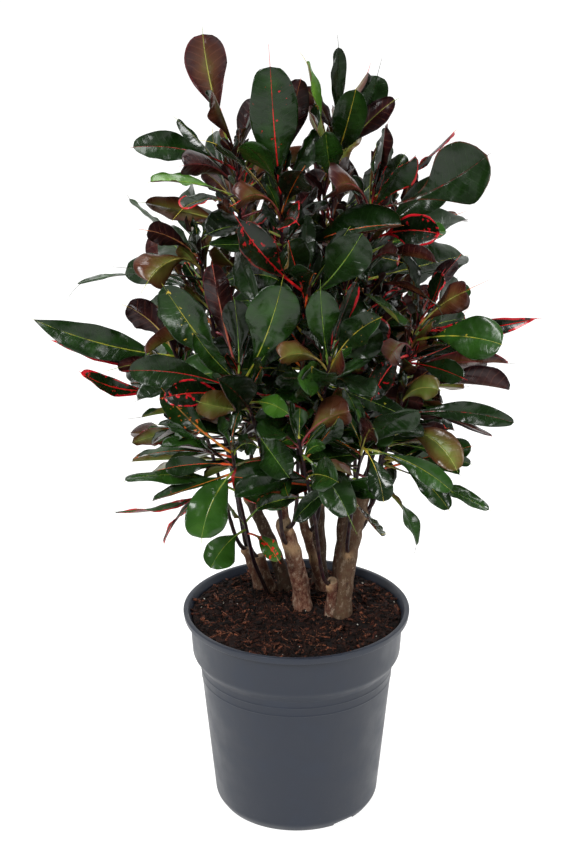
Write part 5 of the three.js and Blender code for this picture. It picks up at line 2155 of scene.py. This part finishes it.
@dataclass
class WoodyTrunk:
    """A trunk with its forks: cracked bark, swollen collars where shoots grow, and sawn tops."""

    name: str
    sides: int = 32
    rows: int = 90
    ridge: float = 0.8
    knob: float = 1.2
    collar_rise: float = 2.4
    collar_width: float = 4.6
    ridge_spacing: float = 4.2
    ridge_stretch: float = 0.22
    knob_spacing: float = 13.0
    root_flare: float = 1.6
    flare_height: float = 9.0
    scar_height: float = 7.0
    cut_margin: float = 0.6
    bark_rim: float = 0.9
    dish_rim: float = 1.2
    dish_depth: float = 0.35
    soil_height: float = 222.0

    def collars(self, part: str) -> list[np.ndarray]:
        """Finds the collars on a trunk.

        Args:
            part: The trunk, fork or stub.

        Returns:
            The middle of each, on its surface.
        """
        spots = []
        for shoot in SHOOTS.values():
            if shoot.trunk == part:
                point, radius = shoot.socket()
                spots.append(point + shoot.outward() * radius)
        return spots

    def add_log(self, bm: bmesh.types.BMesh, part: str, tube: Stamp) -> list[bmesh.types.BMVert]:
        """Adds one length of the trunk, not yet cut.

        Args:
            bm: The trunk's mesh.
            part: The trunk, fork or stub.
            tube: Its plain shape.

        Returns:
            Its vertices.
        """
        trunk = TRUNKS[part]
        curve = trunk.curve()
        turn, _, height = tube.places.T
        point, way = curve.rings(height, turn)
        spots = point + way * (trunk.radii[0] + (trunk.radii[1] - trunk.radii[0]) * height)[:, None]
        swelling = np.zeros(len(spots))
        for collar in self.collars(part):
            away = np.linalg.norm(spots - collar, axis=1)
            swelling = np.maximum(swelling, np.exp(-(away / self.collar_width) ** 2))
        rise = lumps(spots * (1, 1, self.ridge_stretch), self.ridge_spacing) * self.ridge
        rise += lumps(spots, self.knob_spacing) * self.knob
        rise += self.collar_rise * swelling
        if not trunk.joins:
            rise += self.root_flare * np.exp(-((spots[:, 2] - self.soil_height) / self.flare_height) ** 2)
        scar = swelling
        if trunk.pale_at is not None:
            front = spots[:, 1] < point[:, 1]
            pale = np.exp(-((spots[:, 2] - trunk.pale_at) / self.scar_height) ** 2)
            scar = np.maximum(scar, pale * front)
        bark = np.stack([np.full_like(scar, trunk.pink), np.full_like(scar, trunk.age), scar], -1)
        return tube.press(bm, spots + way * rise[:, None], bark=bark)

    def saw(self, bm: bmesh.types.BMesh, part: str, made: list[bmesh.types.BMVert]) -> None:
        """Cuts a length across at its top and finishes the cut with a rim of bark and a dished face.

        Args:
            bm: The trunk's mesh.
            part: The trunk, fork or stub.
            made: Its vertices.
        """
        trunk = TRUNKS[part]
        curve = trunk.curve()
        top, along = Vector(curve.at(1)), Vector(curve.along(1))
        along.rotate(Matrix.Rotation(math.radians(trunk.cut), 3, "X"))
        reach = trunk.radii[1] * math.tan(math.radians(trunk.cut)) + self.cut_margin
        geometry = {part for vert in made for part in (vert, *vert.link_edges, *vert.link_faces)}
        cut = bmesh.ops.bisect_plane(
            bm, geom=list(geometry), plane_co=top - along * reach, plane_no=along, clear_outer=True)
        edges = [part for part in cut["geom_cut"] if isinstance(part, bmesh.types.BMEdge)]
        caps = bmesh.ops.edgeloop_fill(bm, edges=edges)["faces"]
        bmesh.ops.inset_region(bm, faces=caps, thickness=self.bark_rim, depth=0.0)
        for face in caps:
            face.material_index = 1
        dish = bmesh.ops.inset_region(bm, faces=caps, thickness=self.dish_rim, depth=-self.dish_depth)
        for face in dish["faces"]:
            face.material_index = 1

    def build(self, finishes: Sequence[bpy.types.Material]) -> bpy.types.Object:
        """Makes the trunk.

        Args:
            finishes: The materials of bark and of cut wood.

        Returns:
            The piece.
        """
        bm = bmesh.new()
        bm.verts.layers.float_vector.new("bark")
        tube = tube_stamp(self.sides, self.rows)
        parts = [part for part, trunk in TRUNKS.items() if self.name in (part, trunk.joins)]
        logs = [self.add_log(bm, part, tube) for part in parts]
        for part, made in zip(parts, logs):
            self.saw(bm, part, made)
        shown = self.name.replace("trunk", "woody_trunk")
        return deliver(finish_mesh(bm, shown, finishes), self.name)


# The studio


@dataclass
class Studio:
    """A plain pale sweep, soft light and the photograph's viewpoint. None of it is part of the object."""

    eye: Point = (0.0, -1.721, 1.077)
    pitch: float = 20.6
    image_width: float = 571.0
    image_height: float = 850.0
    focal_pixels: float = 1800.0
    pot_axis_pixel: float = 296.4
    sensor: float = 36.0
    clip: tuple[float, float] = (0.05, 50.0)
    sweep_finish: PaperSweep = PaperSweep()
    sweep_size: float = 40000.0
    room_light: tuple[float, float] = (0.1, 1.1)
    room_span: tuple[float, float] = (-0.3, 0.5)
    room_colour: str = "#ffffff"
    aim: Point = (0, 0, 0.5)
    lamps: tuple[tuple[str, Point, Point, float], ...] = (
        ("key_box", (-1.3, -1.7, 2.0), (0.85, 0.85), 62),
        ("fill_box", (1.7, -1.5, 1.5), (0.7, 0.95), 29),
        ("top_box", (0.1, 0.1, 2.3), (1.1, 1.1), 36),
    )

    def camera(self) -> None:
        """Sets the camera up as the photograph's was."""
        data = bpy.data.cameras.new("camera")
        data.sensor_width = self.sensor
        data.lens = self.focal_pixels / self.image_height * self.sensor
        data.shift_x = (self.image_width / 2 - self.pot_axis_pixel) / self.image_height
        data.clip_start, data.clip_end = self.clip
        camera = show("camera", data)
        camera.location = self.eye
        camera.rotation_euler = (math.radians(90 - self.pitch), 0, 0)
        bpy.context.scene.camera = camera

    def sweep(self) -> None:
        """Makes the floor that the pot stands on."""
        bm = bmesh.new()
        bmesh.ops.create_grid(bm, x_segments=1, y_segments=1, size=self.sweep_size)
        material = self.sweep_finish.make()
        finish_mesh(bm, "floor", [material])

    def lamp(self, name: str, place: Point, size: Point, power: float) -> None:
        """Hangs a soft box that points at the plant.

        Args:
            name: Its name.
            place: Where it hangs, in metres.
            size: Its width and height.
            power: Its power in watts.
        """
        data = bpy.data.lights.new(name, "AREA")
        data.shape, data.size, data.size_y, data.energy = "RECTANGLE", size[0], size[1], power
        lamp = show(name, data)
        lamp.location = place
        lamp.rotation_euler = (Vector(self.aim) - Vector(place)).to_track_quat("-Z", "Y").to_euler()

    def build(self) -> None:
        """Sets up the camera, the floor and the light."""
        self.camera()
        self.sweep()
        for lamp in self.lamps:
            self.lamp(*lamp)
        world = bpy.data.worlds.new("studio")
        world.use_nodes = True
        sky = world.node_tree.nodes["Background"]
        way = add_node(world.node_tree, "TexCoord", output="Generated").parts()[1]
        feed(sky.inputs["Color"], self.room_colour)
        feed(sky.inputs["Strength"], way.fade(*self.room_span, *self.room_light, "LINEAR"))
        bpy.context.scene.world = world
        bpy.context.scene.view_settings.view_transform = "Standard"


def main() -> None:
    """Builds the plant, its pot and the studio, and logs how many leaves it has."""
    logging.basicConfig(level=logging.INFO, format="%(message)s")
    pot = Pot()
    pot.build()
    Soil(pot).build()
    wood = [CrotonBark().make(), CutWood().make()]
    for name, trunk in TRUNKS.items():
        if not trunk.joins:
            WoodyTrunk(name).build(wood)
    growth = Growth()
    leaves = growth.place()
    log.info("leaves: %d", sum(map(len, leaves.values())))
    skins = [UPPER_SKIN.make(), UNDER_SKIN.make(), StemSkin().make()]
    young = growth.young()
    log.info("young leaves: %d", sum(map(len, young.values())))
    cutters = [LeafCutter(), LeafCutter(columns=(0, 0.1, 0.4, 0.75, 1), rows=12)]
    for name in SHOOTS:
        LeafyShoot(name, growth.curves[name], leaves[name], young[name]).build(skins, cutters)
    Studio().build()


if __name__ == "__main__":
    main()
